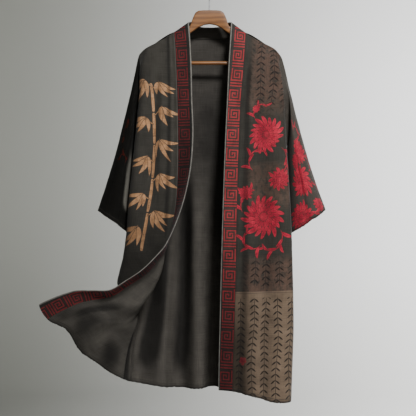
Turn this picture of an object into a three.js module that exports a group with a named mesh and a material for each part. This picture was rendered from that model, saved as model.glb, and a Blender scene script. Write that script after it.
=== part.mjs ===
// A long kimono, worn open, hanging on a wooden hanger with a steel hook.
// Millimetres, +Z up, the front of the garment faces -Y, +X is the viewer's right.
// The origin is the point inside the top of the hook where a rail carries it.
import * as THREE from 'three';

// Cloth walls and seams
const CLOTH_WALL = 1.6;
const BAND_WALL = 2.4;
const PIPING_WALL = 3.2;
const FLAT_SEAM = 0.4;
const SEWN_SEAM = 0.9;
const BACK_SIDE_SEAM = 1.2;
const BENT_SEAM = 1.4;
const SHOULDER_SEAM = 1.5;
const ARMHOLE_SEAM = 2.8;

// Garment
const GARMENT_LENGTH = 1130;
const BAND_WIDTH = 46;
const PIPING_WIDTH = 5;
const SHOULDER_ROUND = 8.4;
const UNDERARM_ROW = 0.26;
const SLEEVE_LENGTH = 490;

// Shares of a panel over which folds fade at its seams, and of a sleeve that the armhole pulls
const SEAM_FADE = 0.12;
const ARMHOLE_PULL = 0.3;
const FOLD_END = 0.1;

// Hanger: a contoured board on the arms, a round bar between their ends, a wire hook
const BOARD_THICKNESS = 12;
const BOARD_CORNER = 3;
const ARM_BELOW_CLOTH = 2;
const BAR_END = 182.6;
const BAR_DIAMETER = 12;
const BAR_HEIGHT = -240;
const WIRE_DIAMETER = 4;
const HOOK_RADIUS = 20;
const SHANK_TOP = -46;

const CLOTH_COLOUR = 0x2b2825;
const PIPING_COLOUR = 0x8d8a80;
const WOOD_COLOUR = 0xa8723c;
const STEEL_COLOUR = 0xb9bcc0;

// Places across each front panel, from the side seam to the free edge of the band
const FRONT_COLUMNS = { seam: 0, side: 0.25, mid: 0.5, front: 0.75, band: 1, edge: 1.16 };

// The point where the cloth crosses the shoulder, one row for each front
const LEFT_SHOULDER = {
  seam: [-217, 0, -214], side: [-196, 0, -195], mid: [-168, 0, -180],
  front: [-138, 0, -163], band: [-108, 0, -144], edge: [-63, 0, -113],
};
const RIGHT_SHOULDER = {
  seam: [217, 0, -214], side: [197, 0, -195], mid: [169, 0, -180],
  front: [140, 0, -164], band: [111, 0, -146], edge: [66, 0, -113],
};

// Left front: it hangs closed above row 0.5, then its lower corner turns over to the left
const LEFT_FRONT = [
  { v: 0.05, seam: [-212, -17, -268], side: [-207, -30, -250], mid: [-170, -30, -235],
    front: [-137, -28, -219], band: [-104, -25, -202], edge: [-59, -20, -172] },
  { v: 0.12, seam: [-211, -24, -340], side: [-209, -41, -325], mid: [-173, -40, -313],
    front: [-136, -37, -300], band: [-100, -33, -288], edge: [-55, -30, -257] },
  { v: 0.2, seam: [-218, -11, -425], side: [-216, -44, -408], mid: [-177, -46, -397],
    front: [-136, -44, -387], band: [-97, -40, -377], edge: [-53, -38, -349] },
  { v: 0.3, seam: [-225, 6, -530], side: [-227, -48, -516], mid: [-184, -50, -506],
    front: [-138, -48, -497], band: [-95, -46, -488], edge: [-49, -52, -465] },
  { v: 0.4, seam: [-226, 8, -636], side: [-237, -50, -620], mid: [-190, -54, -611],
    front: [-140, -54, -603], band: [-96, -58, -595], edge: [-58, -80, -579] },
  { v: 0.5, seam: [-231, 10, -742], side: [-247, -50, -726], mid: [-190, -60, -716],
    front: [-142, -66, -708], band: [-104, -80, -701], edge: [-84, -112, -689] },
  { v: 0.6, seam: [-238, 8, -848], side: [-259, -52, -832], mid: [-172, -66, -822],
    front: [-137, -82, -816], band: [-131, -104, -812], edge: [-127, -142, -792] },
  { v: 0.65, seam: [-240, 2, -900], side: [-269, -48, -880], mid: [-160, -64, -862],
    front: [-139, -84, -857], band: [-156, -114, -848], edge: [-162, -151, -835] },
  { v: 0.7, seam: [-238, -6, -950], side: [-276, -46, -918], mid: [-170, -60, -905],
    front: [-154, -84, -899], band: [-189, -118, -885], edge: [-202, -155, -873] },
  { v: 0.75, seam: [-231, -20, -988], side: [-256, -44, -968], mid: [-193, -58, -952],
    front: [-180, -84, -946], band: [-238, -121, -918], edge: [-247, -156, -903] },
  { v: 0.8, seam: [-219, -40, -1022], side: [-226, -52, -1012], mid: [-214, -68, -1002],
    front: [-228, -100, -988], band: [-288, -118, -950], edge: [-293, -152, -930] },
  { v: 0.85, seam: [-233, -42, -1072], side: [-243, -64, -1054], mid: [-261, -88, -1032],
    front: [-296, -110, -1002], band: [-342, -118, -962], edge: [-348, -143, -932] },
  { v: 0.9, seam: [-249, -42, -1122], side: [-284, -84, -1078], mid: [-320, -108, -1044],
    front: [-357, -118, -1010], band: [-395, -114, -975], edge: [-405, -132, -935] },
  { v: 1, seam: [-262, -40, -1213], side: [-320, -66, -1177], mid: [-376, -84, -1133],
    front: [-419, -98, -1066], band: [-487, -92, -1023], edge: [-511, -105, -977] },
];

// Right front: it hangs straight, a hand's width from the middle, and wraps to the side seam
const RIGHT_FRONT = [
  { v: 0.05, seam: [214, -16, -268], side: [211, -29, -252], mid: [176, -31, -237],
    front: [141, -29, -221], band: [108, -24, -202], edge: [63, -19, -170] },
  { v: 0.12, seam: [221, -24, -340], side: [221, -38, -327], mid: [180, -40, -312],
    front: [141, -38, -297], band: [102, -32, -280], edge: [58, -28, -250] },
  { v: 0.2, seam: [227, -11, -427], side: [225, -42, -412], mid: [182, -44, -396],
    front: [138, -42, -380], band: [95, -37, -361], edge: [54, -36, -340] },
  { v: 0.35, seam: [233, 9, -587], side: [236, -48, -572], mid: [188, -48, -555],
    front: [138, -47, -540], band: [88, -45, -524], edge: [46, -46, -508] },
  { v: 0.5, seam: [236, 10, -746], side: [246, -52, -738], mid: [194, -53, -721],
    front: [138, -53, -704], band: [83, -52, -690], edge: [40, -50, -680] },
  { v: 0.65, seam: [240, 10, -905], side: [250, -54, -900], mid: [197, -58, -885],
    front: [138, -66, -870], band: [80, -58, -858], edge: [35, -50, -850] },
  { v: 0.8, seam: [242, 8, -1064], side: [252, -56, -1062], mid: [196, -64, -1047],
    front: [134, -72, -1032], band: [76, -62, -1025], edge: [31, -50, -1020] },
  { v: 0.92, seam: [240, 6, -1192], side: [248, -56, -1194], mid: [192, -68, -1184],
    front: [130, -76, -1166], band: [71, -64, -1157], edge: [28, -50, -1155] },
  { v: 1, seam: [237, 5, -1276], side: [245, -56, -1279], mid: [190, -74, -1277],
    front: [132, -74, -1259], band: [70, -64, -1246], edge: [27, -50, -1245] },
];

// Places across the back, from the left side seam to the right one
const BACK_COLUMNS = {
  seamLeft: 0, shoulderLeft: 0.12, neckLeft: 0.26, napeLeft: 0.36, centre: 0.5,
  napeRight: 0.64, neckRight: 0.74, shoulderRight: 0.88, seamRight: 1,
};
const BACK_TOP = {
  shoulderLeft: [-180, 0, -187], neckLeft: [-108, 0, -144],
  napeLeft: [-66, 39, -155], centre: [0, 50, -158], napeRight: [68, 39, -155],
  neckRight: [111, 0, -146], shoulderRight: [181, 0, -187],
};
// Hanging rows of the back: depth and height of the columns between the side seams
const BACK_ROWS = [
  { v: 0.05, shoulderLeft: [-179, 31, -241],
    neckLeft: [-112, 32, -208], napeLeft: [-64, 45, -210], centre: [0, 51, -213],
    napeRight: [64, 45, -210], neckRight: [114, 32, -208], shoulderRight: [180, 31, -241] },
  { v: 0.12, shoulderLeft: [-180, 42, -317],
    neckLeft: [-117, 47, -286], napeLeft: [-63, 51, -287], centre: [0, 53, -290],
    napeRight: [64, 51, -287], neckRight: [118, 47, -286], shoulderRight: [182, 42, -317] },
  { v: 0.2, shoulderLeft: [-183, 46, -399],
    neckLeft: [-120, 52, -375], napeLeft: [-64, 53, -374], centre: [0, 53, -378],
    napeRight: [64, 53, -374], neckRight: [122, 52, -375], shoulderRight: [188, 46, -401] },
  { v: 0.3, shoulderLeft: [-188, 46, -502],
    neckLeft: [-124, 54, -485], napeLeft: [-65, 54, -485], centre: [0, 54, -488],
    napeRight: [66, 54, -485], neckRight: [126, 54, -486], shoulderRight: [192, 47, -505] },
  { v: 0.5, shoulderLeft: [-196, 50, -718],
    neckLeft: [-128, 58, -706], napeLeft: [-66, 58, -706], centre: [0, 56, -708],
    napeRight: [68, 56, -706], neckRight: [132, 58, -712], shoulderRight: [204, 52, -728] },
  { v: 0.7, shoulderLeft: [-202, 42, -934],
    neckLeft: [-132, 60, -926], napeLeft: [-66, 62, -926], centre: [0, 60, -928],
    napeRight: [70, 60, -930], neckRight: [136, 62, -936], shoulderRight: [210, 54, -948] },
  { v: 0.8, shoulderLeft: [-206, 22, -1030],
    neckLeft: [-136, 58, -1034], napeLeft: [-66, 62, -1036], centre: [2, 62, -1038],
    napeRight: [72, 62, -1042], neckRight: [138, 62, -1048], shoulderRight: [212, 54, -1058] },
  { v: 0.9, shoulderLeft: [-222, 8, -1128],
    neckLeft: [-142, 54, -1140], napeLeft: [-68, 64, -1146], centre: [2, 64, -1148],
    napeRight: [74, 62, -1152], neckRight: [140, 62, -1158], shoulderRight: [212, 52, -1166] },
  { v: 1, shoulderLeft: [-228, 0, -1230],
    neckLeft: [-146, 48, -1252], napeLeft: [-68, 62, -1260], centre: [4, 64, -1257],
    napeRight: [76, 62, -1260], neckRight: [142, 60, -1268], shoulderRight: [210, 48, -1276] },
];

// How far the top edge of the collar stands from its seam, going round the neck
const COLLAR_RISE = [
  { s: 0, rise: [45, 0, 31] },
  { s: 0.07, rise: [43, 5, 33] },
  { s: 0.25, rise: [22, 5, 38] },
  { s: 0.5, rise: [0, 6, 39] },
  { s: 0.75, rise: [-22, 5, 38] },
  { s: 0.93, rise: [-43, 5, 33] },
  { s: 1, rise: [-45, 0, 33] },
];

// Sleeves: columns go round the tube, rows from the armhole to the cuff
const SLEEVE_COLUMNS = { underFront: 0, front: 0.25, top: 0.5, back: 0.75, underBack: 1 };
const LEFT_SLEEVE = [
  { v: 0, underFront: [-221, 0, -466], front: [-209, -24, -340], top: [-217, 0, -214],
    back: [-209, 24, -340], underBack: [-221, 0, -466] },
  { v: 0.05, underFront: [-226, 2, -474], front: [-224, -25, -348], top: [-222, 0, -232],
    back: [-224, 26, -348], underBack: [-226, 8, -474] },
  { v: 0.25, underFront: [-231, 8, -540], front: [-237, -40, -425], top: [-239, 0, -314],
    back: [-238, 34, -425], underBack: [-231, 16, -540] },
  { v: 0.5, underFront: [-237, 12, -614], front: [-249, -50, -522], top: [-268, 0, -434],
    back: [-254, 40, -522], underBack: [-237, 20, -614] },
  { v: 0.75, underFront: [-243, 14, -690], front: [-263, -52, -627], top: [-302, 0, -562],
    back: [-273, 42, -627], underBack: [-243, 22, -690] },
  { v: 1, underFront: [-250, 14, -770], front: [-282, -48, -738], top: [-346, 0, -697],
    back: [-297, 40, -735], underBack: [-250, 22, -770] },
];
const RIGHT_SLEEVE = [
  { v: 0, underFront: [221, 0, -470], front: [212, -24, -340], top: [217, 0, -214],
    back: [212, 24, -340], underBack: [221, 0, -470] },
  { v: 0.05, underFront: [233, 2, -478], front: [235, -25, -348], top: [226, 0, -232],
    back: [233, 26, -348], underBack: [233, 8, -478] },
  { v: 0.25, underFront: [237, 8, -542], front: [250, -38, -426], top: [246, 0, -314],
    back: [249, 34, -426], underBack: [237, 16, -542] },
  { v: 0.5, underFront: [241, 12, -615], front: [264, -46, -524], top: [276, 0, -434],
    back: [262, 40, -524], underBack: [241, 20, -615] },
  { v: 0.75, underFront: [245, 14, -692], front: [286, -46, -628], top: [313, 0, -562],
    back: [283, 42, -628], underBack: [245, 22, -692] },
  { v: 1, underFront: [250, 14, -770], front: [307, -42, -731], top: [359, 0, -694],
    back: [304, 40, -734], underBack: [250, 22, -770] },
];

// Folds: each lies at `at` across its panel, is `reach` wide each way, lifts the cloth by
// `lift` towards its outer face, and grows between rows `from` and `full`
const LEFT_FRONT_FOLDS = [
  { at: 0.34, lean: -0.02, reach: 0.1, lift: 7, from: 0.08, full: 0.25, end: 0.56 },
  { at: 0.56, lean: 0.02, reach: 0.07, lift: -8, from: 0.04, full: 0.14, end: 0.5 },
  { at: 0.72, lean: 0.02, reach: 0.09, lift: 6, from: 0.05, full: 0.2, end: 0.5 },
  { at: 0.3, lean: 0.06, reach: 0.12, lift: 10, from: 0.82, full: 0.95, end: 1.2 },
  { at: 0.6, lean: 0.02, reach: 0.1, lift: -9, from: 0.82, full: 0.98, end: 1.2 },
  { at: 0.86, lean: 0, reach: 0.09, lift: 8, from: 0.85, full: 0.98, end: 1.2 },
];
const RIGHT_FRONT_FOLDS = [
  { at: 0.38, lean: 0.04, reach: 0.12, lift: 7, from: 0.1, full: 0.35, end: 1.2 },
  { at: 0.62, lean: -0.04, reach: 0.11, lift: -6, from: 0.2, full: 0.5, end: 1.2 },
  { at: 0.8, lean: -0.02, reach: 0.1, lift: 6, from: 0.4, full: 0.75, end: 1.2 },
];
const BACK_FOLDS = [
  { at: 0.15, lean: 0, reach: 0.05, lift: -28, from: 0.45, full: 0.78, end: 1.2 },
  { at: 0.25, lean: 0, reach: 0.05, lift: 18, from: 0.3, full: 0.62, end: 1.2 },
  { at: 0.325, lean: 0, reach: 0.04, lift: -30, from: 0.3, full: 0.6, end: 1.2 },
  { at: 0.42, lean: 0, reach: 0.05, lift: 16, from: 0.3, full: 0.6, end: 1.2 },
  { at: 0.51, lean: 0, reach: 0.042, lift: -24, from: 0.3, full: 0.62, end: 1.2 },
  { at: 0.61, lean: -0.01, reach: 0.05, lift: 14, from: 0.25, full: 0.65, end: 1.2 },
  { at: 0.73, lean: 0, reach: 0.05, lift: -20, from: 0.3, full: 0.7, end: 1.2 },
  { at: 0.85, lean: 0, reach: 0.045, lift: 11, from: 0.3, full: 0.75, end: 1.2 },
];
const SLEEVE_FOLDS = [
  { at: 0.2, lean: 0.03, reach: 0.09, lift: 7, from: 0.3, full: 0.7, end: 1.3 },
  { at: 0.33, lean: 0.02, reach: 0.07, lift: -6, from: 0.3, full: 0.7, end: 1.3 },
  { at: 0.68, lean: -0.02, reach: 0.08, lift: -6, from: 0.3, full: 0.7, end: 1.3 },
  { at: 0.8, lean: -0.02, reach: 0.08, lift: 7, from: 0.35, full: 0.75, end: 1.3 },
];

/** Eases from 0 at `low` to 1 at `high`. */
function ease(low, high, value) {
  const t = THREE.MathUtils.clamp((value - low) / (high - low), 0, 1);
  return t * t * (3 - 2 * t);
}

/** The smooth curve through `points`, one for each of `knots`, at the place `t`. */
function splinePoint(knots, points, t) {
  const last = knots.length - 1;
  let i = 0;
  while (i < last - 1 && t > knots[i + 1]) i += 1;
  const chord = k => points[k + 1].clone().sub(points[k]).divideScalar(knots[k + 1] - knots[k]);
  const inner = k => points[k + 1].clone().sub(points[k - 1])
    .divideScalar(knots[k + 1] - knots[k - 1]);
  const slope = (k) => {
    if (last === 1) return chord(0);
    if (k === 0) return chord(0).multiplyScalar(2).sub(inner(1));
    if (k === last) return chord(last - 1).multiplyScalar(2).sub(inner(last - 1));
    return inner(k);
  };
  const h = knots[i + 1] - knots[i];
  const s = (t - knots[i]) / h;
  const hermite = [(1 + 2 * s) * (1 - s) ** 2, s * (1 - s) ** 2, s * s * (3 - 2 * s), s * s * (s - 1)];
  return points[i].clone().multiplyScalar(hermite[0])
    .addScaledVector(slope(i), h * hermite[1])
    .addScaledVector(points[i + 1], hermite[2])
    .addScaledVector(slope(i + 1), h * hermite[3]);
}

/** A cloth surface through a table of rows with named columns. */
function clothNet(columns, rows) {
  const names = Object.keys(columns);
  const across = names.map(name => columns[name]);
  const along = rows.map(row => row.v);
  const points = rows.map(row => names.map(name => new THREE.Vector3(...row[name])));
  return (u, v) => splinePoint(along, points.map(row => splinePoint(across, row, u)), v);
}

/** Rows that carry the cloth round the top of the hanger, `way` being -1 to the front. */
function shoulderRows(top, way, hangs) {
  return [0, 30, 60, 90].map((degrees) => {
    const angle = THREE.MathUtils.degToRad(degrees);
    const row = { v: (SHOULDER_ROUND * angle) / GARMENT_LENGTH };
    for (const [name, [x, y, z]] of Object.entries(top)) {
      const round = hangs(name) ? 1 : 0;
      const out = SHOULDER_ROUND * Math.sin(angle) * round;
      const drop = round ? SHOULDER_ROUND * (1 - Math.cos(angle)) : SHOULDER_ROUND * angle;
      row[name] = [x, y + way * out, z - drop];
    }
    return row;
  });
}

/** How far the folds lift the cloth at a place, fading out towards the panel's seams. */
function foldLift(folds, u, v) {
  const free = ease(0, SEAM_FADE, u) * (1 - ease(1 - SEAM_FADE, 1, u));
  const lifts = folds.map((fold) => {
    const centre = fold.at + fold.lean * v;
    const near = Math.max(0, 1 - ((u - centre) / (2 * fold.reach)) ** 2) ** 3;
    const gone = ease(fold.end - FOLD_END, fold.end, v);
    return fold.lift * near * ease(fold.from, fold.full, v) * (1 - gone);
  });
  return free * lifts.reduce((sum, lift) => sum + lift, 0);
}

/** The unit vector out of a surface at a place; `face` is 1 or -1. */
function normalAt(surface, u, v, face) {
  const step = 1e-4;
  const du = surface(u + step, v).sub(surface(u - step, v));
  const dv = surface(u, v + step).sub(surface(u, v - step));
  return du.cross(dv).normalize().multiplyScalar(face);
}

/** A surface with its folds raised along its own normal. */
function folded(surface, folds, face) {
  return (u, v) => surface(u, v)
    .addScaledVector(normalAt(surface, u, v, face), foldLift(folds, u, v));
}

/** Evenly spaced places from `low` to `high`, both included. */
function places(low, high, count) {
  return Array.from({ length: count + 1 }, (unused, i) => low + ((high - low) * i) / count);
}

/** Rows down a panel, close together over the shoulder and even below it. */
function panelRows(count, start, hem) {
  const shoulder = [0.003, 0.0065, 0.0105, 0.02];
  return [start, ...shoulder, ...places(0.04, hem, count)];
}

/** A closed wall of cloth round a surface, from its places across and along. */
function clothWall(surface, across, along, wall, face) {
  const middle = along.map(v => across.map(u => surface(u, v)));
  const normals = along.map(v => across.map(u => normalAt(surface, u, v, face)));
  const wide = across.length;
  const tall = along.length;
  const positions = [];
  for (const side of [0.5, -0.5]) {
    for (let j = 0; j < tall; j += 1) {
      for (let i = 0; i < wide; i += 1) {
        const p = middle[j][i].clone().addScaledVector(normals[j][i], side * wall);
        positions.push(p.x, p.y, p.z);
      }
    }
  }
  const outer = (i, j) => j * wide + i;
  const inner = (i, j) => wide * tall + j * wide + i;
  const index = [];
  const quad = (a, b, c, d) => index.push(a, b, c, a, c, d);
  const place = face > 0 ? (a, b, c, d) => quad(a, b, c, d) : (a, b, c, d) => quad(d, c, b, a);
  for (let j = 0; j < tall - 1; j += 1) {
    for (let i = 0; i < wide - 1; i += 1) {
      place(outer(i, j), outer(i + 1, j), outer(i + 1, j + 1), outer(i, j + 1));
      place(inner(i, j + 1), inner(i + 1, j + 1), inner(i + 1, j), inner(i, j));
    }
  }
  for (let i = 0; i < wide - 1; i += 1) {
    place(inner(i, 0), inner(i + 1, 0), outer(i + 1, 0), outer(i, 0));
    place(outer(i, tall - 1), outer(i + 1, tall - 1), inner(i + 1, tall - 1), inner(i, tall - 1));
  }
  for (let j = 0; j < tall - 1; j += 1) {
    place(outer(0, j), outer(0, j + 1), inner(0, j + 1), inner(0, j));
    place(inner(wide - 1, j), inner(wide - 1, j + 1), outer(wide - 1, j + 1), outer(wide - 1, j));
  }
  const geometry = new THREE.BufferGeometry();
  geometry.setAttribute('position', new THREE.Float32BufferAttribute(positions, 3));
  geometry.setIndex(index);
  return geometry;
}

const kimono = new THREE.Group();

/** Adds one named piece in its own finish. */
function addPiece(name, geometry, colour, roughness = 0.9, metalness = 0) {
  const material = new THREE.MeshStandardMaterial({ color: colour, roughness, metalness });
  const mesh = new THREE.Mesh(geometry, material);
  mesh.name = name;
  kimono.add(mesh);
  return mesh;
}

const everyColumn = () => true;
const offTheNeck = name => !['napeLeft', 'centre', 'napeRight'].includes(name);
const leftRows = [...shoulderRows(LEFT_SHOULDER, -1, everyColumn), ...LEFT_FRONT];
const rightRows = [...shoulderRows(RIGHT_SHOULDER, -1, everyColumn), ...RIGHT_FRONT];
const leftNet = clothNet(FRONT_COLUMNS, leftRows);
const rightNet = clothNet(FRONT_COLUMNS, rightRows);

/** The back's own side edge: apart from the front's down the armhole, with it below. */
function backEdge(frontNet, v) {
  const edge = frontNet(0, v);
  return edge.setY(v < UNDERARM_ROW ? Math.abs(edge.y) : edge.y);
}

/** The back, with its edges brought exactly to the side seams of the fronts. */
function backWithSeams() {
  const rows = [...shoulderRows(BACK_TOP, 1, offTheNeck), ...BACK_ROWS].map(row => ({
    ...row,
    seamLeft: backEdge(leftNet, row.v).toArray(),
    seamRight: backEdge(rightNet, row.v).toArray(),
  }));
  const net = clothNet(BACK_COLUMNS, rows);
  return (u, v) => {
    const pullLeft = backEdge(leftNet, v).sub(net(0, v));
    const pullRight = backEdge(rightNet, v).sub(net(1, v));
    return net(u, v)
      .addScaledVector(pullLeft, 1 - ease(0, SEAM_FADE, u))
      .addScaledVector(pullRight, ease(1 - SEAM_FADE, 1, u));
  };
}

const backNet = backWithSeams();

const FRONT_WIDTH = 290;
const BACK_WIDTH = 610;
const FRONT_GRID = { across: 14, along: 26 };
const BACK_GRID = { across: 28, along: 22 };
const SLEEVE_GRID = { around: 22, along: 10 };
const UNDERARM_SLIT = 0.004;
const SLEEVE_TURN = 0.03;
const SLEEVE_EVEN = 0.08;
const SHOULDER_START = SHOULDER_SEAM / 2 / GARMENT_LENGTH;
const SEAM_START = SEWN_SEAM / FRONT_WIDTH;
const EDGE = FRONT_COLUMNS.edge;
const PIPING_AT = EDGE - ((EDGE - 1) * PIPING_WIDTH) / BAND_WIDTH;
const BAND_GAP = ((EDGE - 1) * SEWN_SEAM) / BAND_WIDTH / 2;

/** One front: the panel, the collar band along its free edge, and the piping on the band. */
function addFront(side, net, folds, face) {
  const surface = folded(net, folds, face);
  const rows = panelRows(FRONT_GRID.along, SHOULDER_START, 1);
  const panelColumns = places(SEAM_START, 1 - BAND_GAP, FRONT_GRID.across);
  addPiece(`front_${side}`, clothWall(surface, panelColumns, rows, CLOTH_WALL, face), CLOTH_COLOUR);
  const bandColumns = places(1 + BAND_GAP, PIPING_AT - BAND_GAP, 2);
  addPiece(`collar_${side}`, clothWall(surface, bandColumns, rows, BAND_WALL, face), CLOTH_COLOUR);
  const pipingColumns = places(PIPING_AT + BAND_GAP, EDGE, 1);
  addPiece(`piping_${side}`, clothWall(surface, pipingColumns, rows, PIPING_WALL, face), PIPING_COLOUR);
}

/** The collar round the back of the neck, its lower edge on the back panel's top edge. */
function collarNeckSurface() {
  const low = BACK_COLUMNS.neckLeft;
  const high = BACK_COLUMNS.neckRight;
  const knots = COLLAR_RISE.map(row => row.s);
  const rises = COLLAR_RISE.map(row => new THREE.Vector3(...row.rise));
  return (u, v) => backNet(low + (high - low) * v, 0)
    .addScaledVector(splinePoint(knots, rises, v), u);
}

/** One sleeve: a tube from the armhole, where it follows the panels' edges, to the cuff. */
function sleeveSurface(table, frontNet) {
  const net = clothNet(SLEEVE_COLUMNS, table);
  const armhole = (u) => {
    if (u <= 0.5) return frontNet(0, UNDERARM_ROW * (1 - 2 * u));
    return backEdge(frontNet, UNDERARM_ROW * (2 * u - 1));
  };
  return (u, v) => {
    const pull = armhole(u).sub(net(u, 0));
    return net(u, v).addScaledVector(pull, 1 - ease(0, ARMHOLE_PULL, v));
  };
}

addFront('left', leftNet, LEFT_FRONT_FOLDS, -1);
addFront('right', rightNet, RIGHT_FRONT_FOLDS, 1);

const backSurface = folded(backNet, BACK_FOLDS, -1);
const backStart = BACK_SIDE_SEAM / BACK_WIDTH;
const backColumns = places(backStart, 1 - backStart, BACK_GRID.across);
const backRows = panelRows(BACK_GRID.along, SHOULDER_START, 1);
addPiece('back', clothWall(backSurface, backColumns, backRows, CLOTH_WALL, -1), CLOTH_COLOUR);

const collarSurface = collarNeckSurface();
const COLLAR_HEIGHT = 44;
const COLLAR_LENGTH = 250;
const collarLow = BENT_SEAM / COLLAR_HEIGHT;
const collarEnd = SHOULDER_SEAM / COLLAR_LENGTH;
const collarPiping = 1 - PIPING_WIDTH / COLLAR_HEIGHT;
const pipingGap = FLAT_SEAM / COLLAR_HEIGHT / 2;
const collarRows = places(collarEnd, 1 - collarEnd, 18);
addPiece('collar_neck',
  clothWall(collarSurface, places(collarLow, collarPiping - pipingGap, 2), collarRows, BAND_WALL, 1),
  CLOTH_COLOUR);
addPiece('piping_neck',
  clothWall(collarSurface, places(collarPiping + pipingGap, 1, 1), collarRows, PIPING_WALL, 1),
  PIPING_COLOUR);

/** Adds one sleeve, its seam under the arm left open by the width of a seam. */
function addSleeve(side, table, frontNet, face) {
  const surface = folded(sleeveSurface(table, frontNet), SLEEVE_FOLDS, face);
  const around = places(UNDERARM_SLIT, 1 - UNDERARM_SLIT, SLEEVE_GRID.around);
  const start = ARMHOLE_SEAM / SLEEVE_LENGTH;
  const along = [start, SLEEVE_TURN, ...places(SLEEVE_EVEN, 1, SLEEVE_GRID.along)];
  addPiece(`sleeve_${side}`, clothWall(surface, around, along, CLOTH_WALL, face), CLOTH_COLOUR);
}

addSleeve('left', LEFT_SLEEVE, leftNet, -1);
addSleeve('right', RIGHT_SLEEVE, rightNet, 1);

// Half of the board's outline: the crown's top edge, then the underside from the arm's end
const BOARD_TOP = [[0, -76], [34, -76.5], [44, -84], [52, -101], [60, -124], [112, -152]];
const ARM_END = [[170, 0], [190, -1.5], [200, -4], [207, -12]];
const BOARD_UNDERSIDE = [[0, -119], [18, -122], [37, -131], [60, -148], [100, -178],
  [140, -205], [174, -225], [183, -231], [184, -251], [204, -251], [207, -248]];
const BOARD_STATIONS = [0, 12, 24, 34, 44, 52, 60, 76, 92, 108, 130, 150, 170, 183, 184, 194, 202, 207];

/** A height read off straight lines between [distance, height] pairs. */
function heightAt(pairs, x) {
  let i = 0;
  while (i < pairs.length - 2 && x > pairs[i + 1][0]) i += 1;
  const [x0, z0] = pairs[i];
  const [x1, z1] = pairs[i + 1];
  return z0 + ((z1 - z0) * (x - x0)) / (x1 - x0);
}

/** The cloth's shoulder line at a distance from the middle, the lower of both fronts. */
function shoulderHeight(x) {
  const heights = [LEFT_SHOULDER, RIGHT_SHOULDER].map((shoulder) => {
    const names = Object.keys(shoulder).reverse();
    const knots = names.map(name => Math.abs(shoulder[name][0]));
    return splinePoint(knots, names.map(name => new THREE.Vector3(...shoulder[name])), x).z;
  });
  return Math.min(...heights);
}

/** The top of the board at a distance from the middle. */
function boardTop(x) {
  const crownEnd = BOARD_TOP[BOARD_TOP.length - 1][0];
  if (x <= crownEnd) return heightAt(BOARD_TOP, x);
  const arm = Math.min(BOARD_TOP[BOARD_TOP.length - 1][1], shoulderHeight(x) - ARM_BELOW_CLOTH);
  return x < ARM_END[0][0] ? arm : arm + heightAt(ARM_END, x);
}

/** A closed body through rings of the same number of points, all running the same way. */
function loft(rings) {
  const count = rings[0].length;
  const positions = rings.flat().flatMap(point => point.toArray());
  const index = [];
  for (let r = 0; r < rings.length - 1; r += 1) {
    for (let k = 0; k < count; k += 1) {
      const a = r * count + k;
      const b = r * count + ((k + 1) % count);
      index.push(a, b, b + count, a, b + count, a + count);
    }
  }
  const last = (rings.length - 1) * count;
  for (let k = 1; k < count - 1; k += 1) {
    index.push(0, k + 1, k);
    index.push(last, last + k, last + k + 1);
  }
  const geometry = new THREE.BufferGeometry();
  geometry.setAttribute('position', new THREE.Float32BufferAttribute(positions, 3));
  geometry.setIndex(index);
  return geometry;
}

/** The board's section at a distance from the middle: a round top and eased lower corners. */
function boardSection(x) {
  const half = BOARD_THICKNESS / 2;
  const top = boardTop(Math.abs(x));
  const bottom = heightAt(BOARD_UNDERSIDE, Math.abs(x));
  const ring = [0, 36, 72, 108, 144, 180].map((degrees) => {
    const angle = THREE.MathUtils.degToRad(degrees);
    return new THREE.Vector3(x, half * Math.cos(angle), top - half + half * Math.sin(angle));
  });
  const inset = half - BOARD_CORNER;
  const lower = [[-half, BOARD_CORNER], [-inset, 0], [inset, 0], [half, BOARD_CORNER]];
  return [...ring, ...lower.map(([y, rise]) => new THREE.Vector3(x, y, bottom + rise))];
}

const stations = [...BOARD_STATIONS.slice(1).reverse().map(x => -x), ...BOARD_STATIONS];
addPiece('hanger_board', loft(stations.map(boardSection)), WOOD_COLOUR, 0.45);

const barGeometry = new THREE.CylinderGeometry(BAR_DIAMETER / 2, BAR_DIAMETER / 2, 2 * BAR_END, 16);
const bar = addPiece('hanger_bar', barGeometry, WOOD_COLOUR, 0.45);
bar.rotation.z = Math.PI / 2;
bar.position.z = BAR_HEIGHT;

/** The hook's line: a straight shank, an S-bend, then three quarters of a circle. */
function hookLine() {
  const crown = BOARD_TOP[0][1] + FLAT_SEAM;
  const centre = -HOOK_RADIUS + WIRE_DIAMETER / 2;
  const onCircle = (degrees) => {
    const angle = THREE.MathUtils.degToRad(degrees);
    return [HOOK_RADIUS * Math.cos(angle), centre + HOOK_RADIUS * Math.sin(angle)];
  };
  const shank = [crown, crown + 8, crown + 16, SHANK_TOP].map(z => [0, z]);
  const bend = [[1.8, -42], [5.2, -38.4]];
  const circle = places(-60, 205, 20).map(onCircle);
  const points = [...shank, ...bend, ...circle].map(([x, z]) => new THREE.Vector3(x, 0, z));
  return new THREE.CatmullRomCurve3(points, false, 'centripetal');
}

/** A round section with a given number of sides. */
function roundSection(radius, sides) {
  const shape = new THREE.Shape();
  for (let i = 0; i < sides; i += 1) {
    const angle = (2 * Math.PI * i) / sides;
    const point = [radius * Math.cos(angle), radius * Math.sin(angle)];
    if (i === 0) shape.moveTo(...point);
    else shape.lineTo(...point);
  }
  shape.closePath();
  return shape;
}

const hookOptions = { extrudePath: hookLine(), steps: 32 };
const hookGeometry = new THREE.ExtrudeGeometry(roundSection(WIRE_DIAMETER / 2, 7), hookOptions);
addPiece('hanger_hook', hookGeometry, STEEL_COLOUR, 0.25, 1);

export default kimono;
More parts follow.
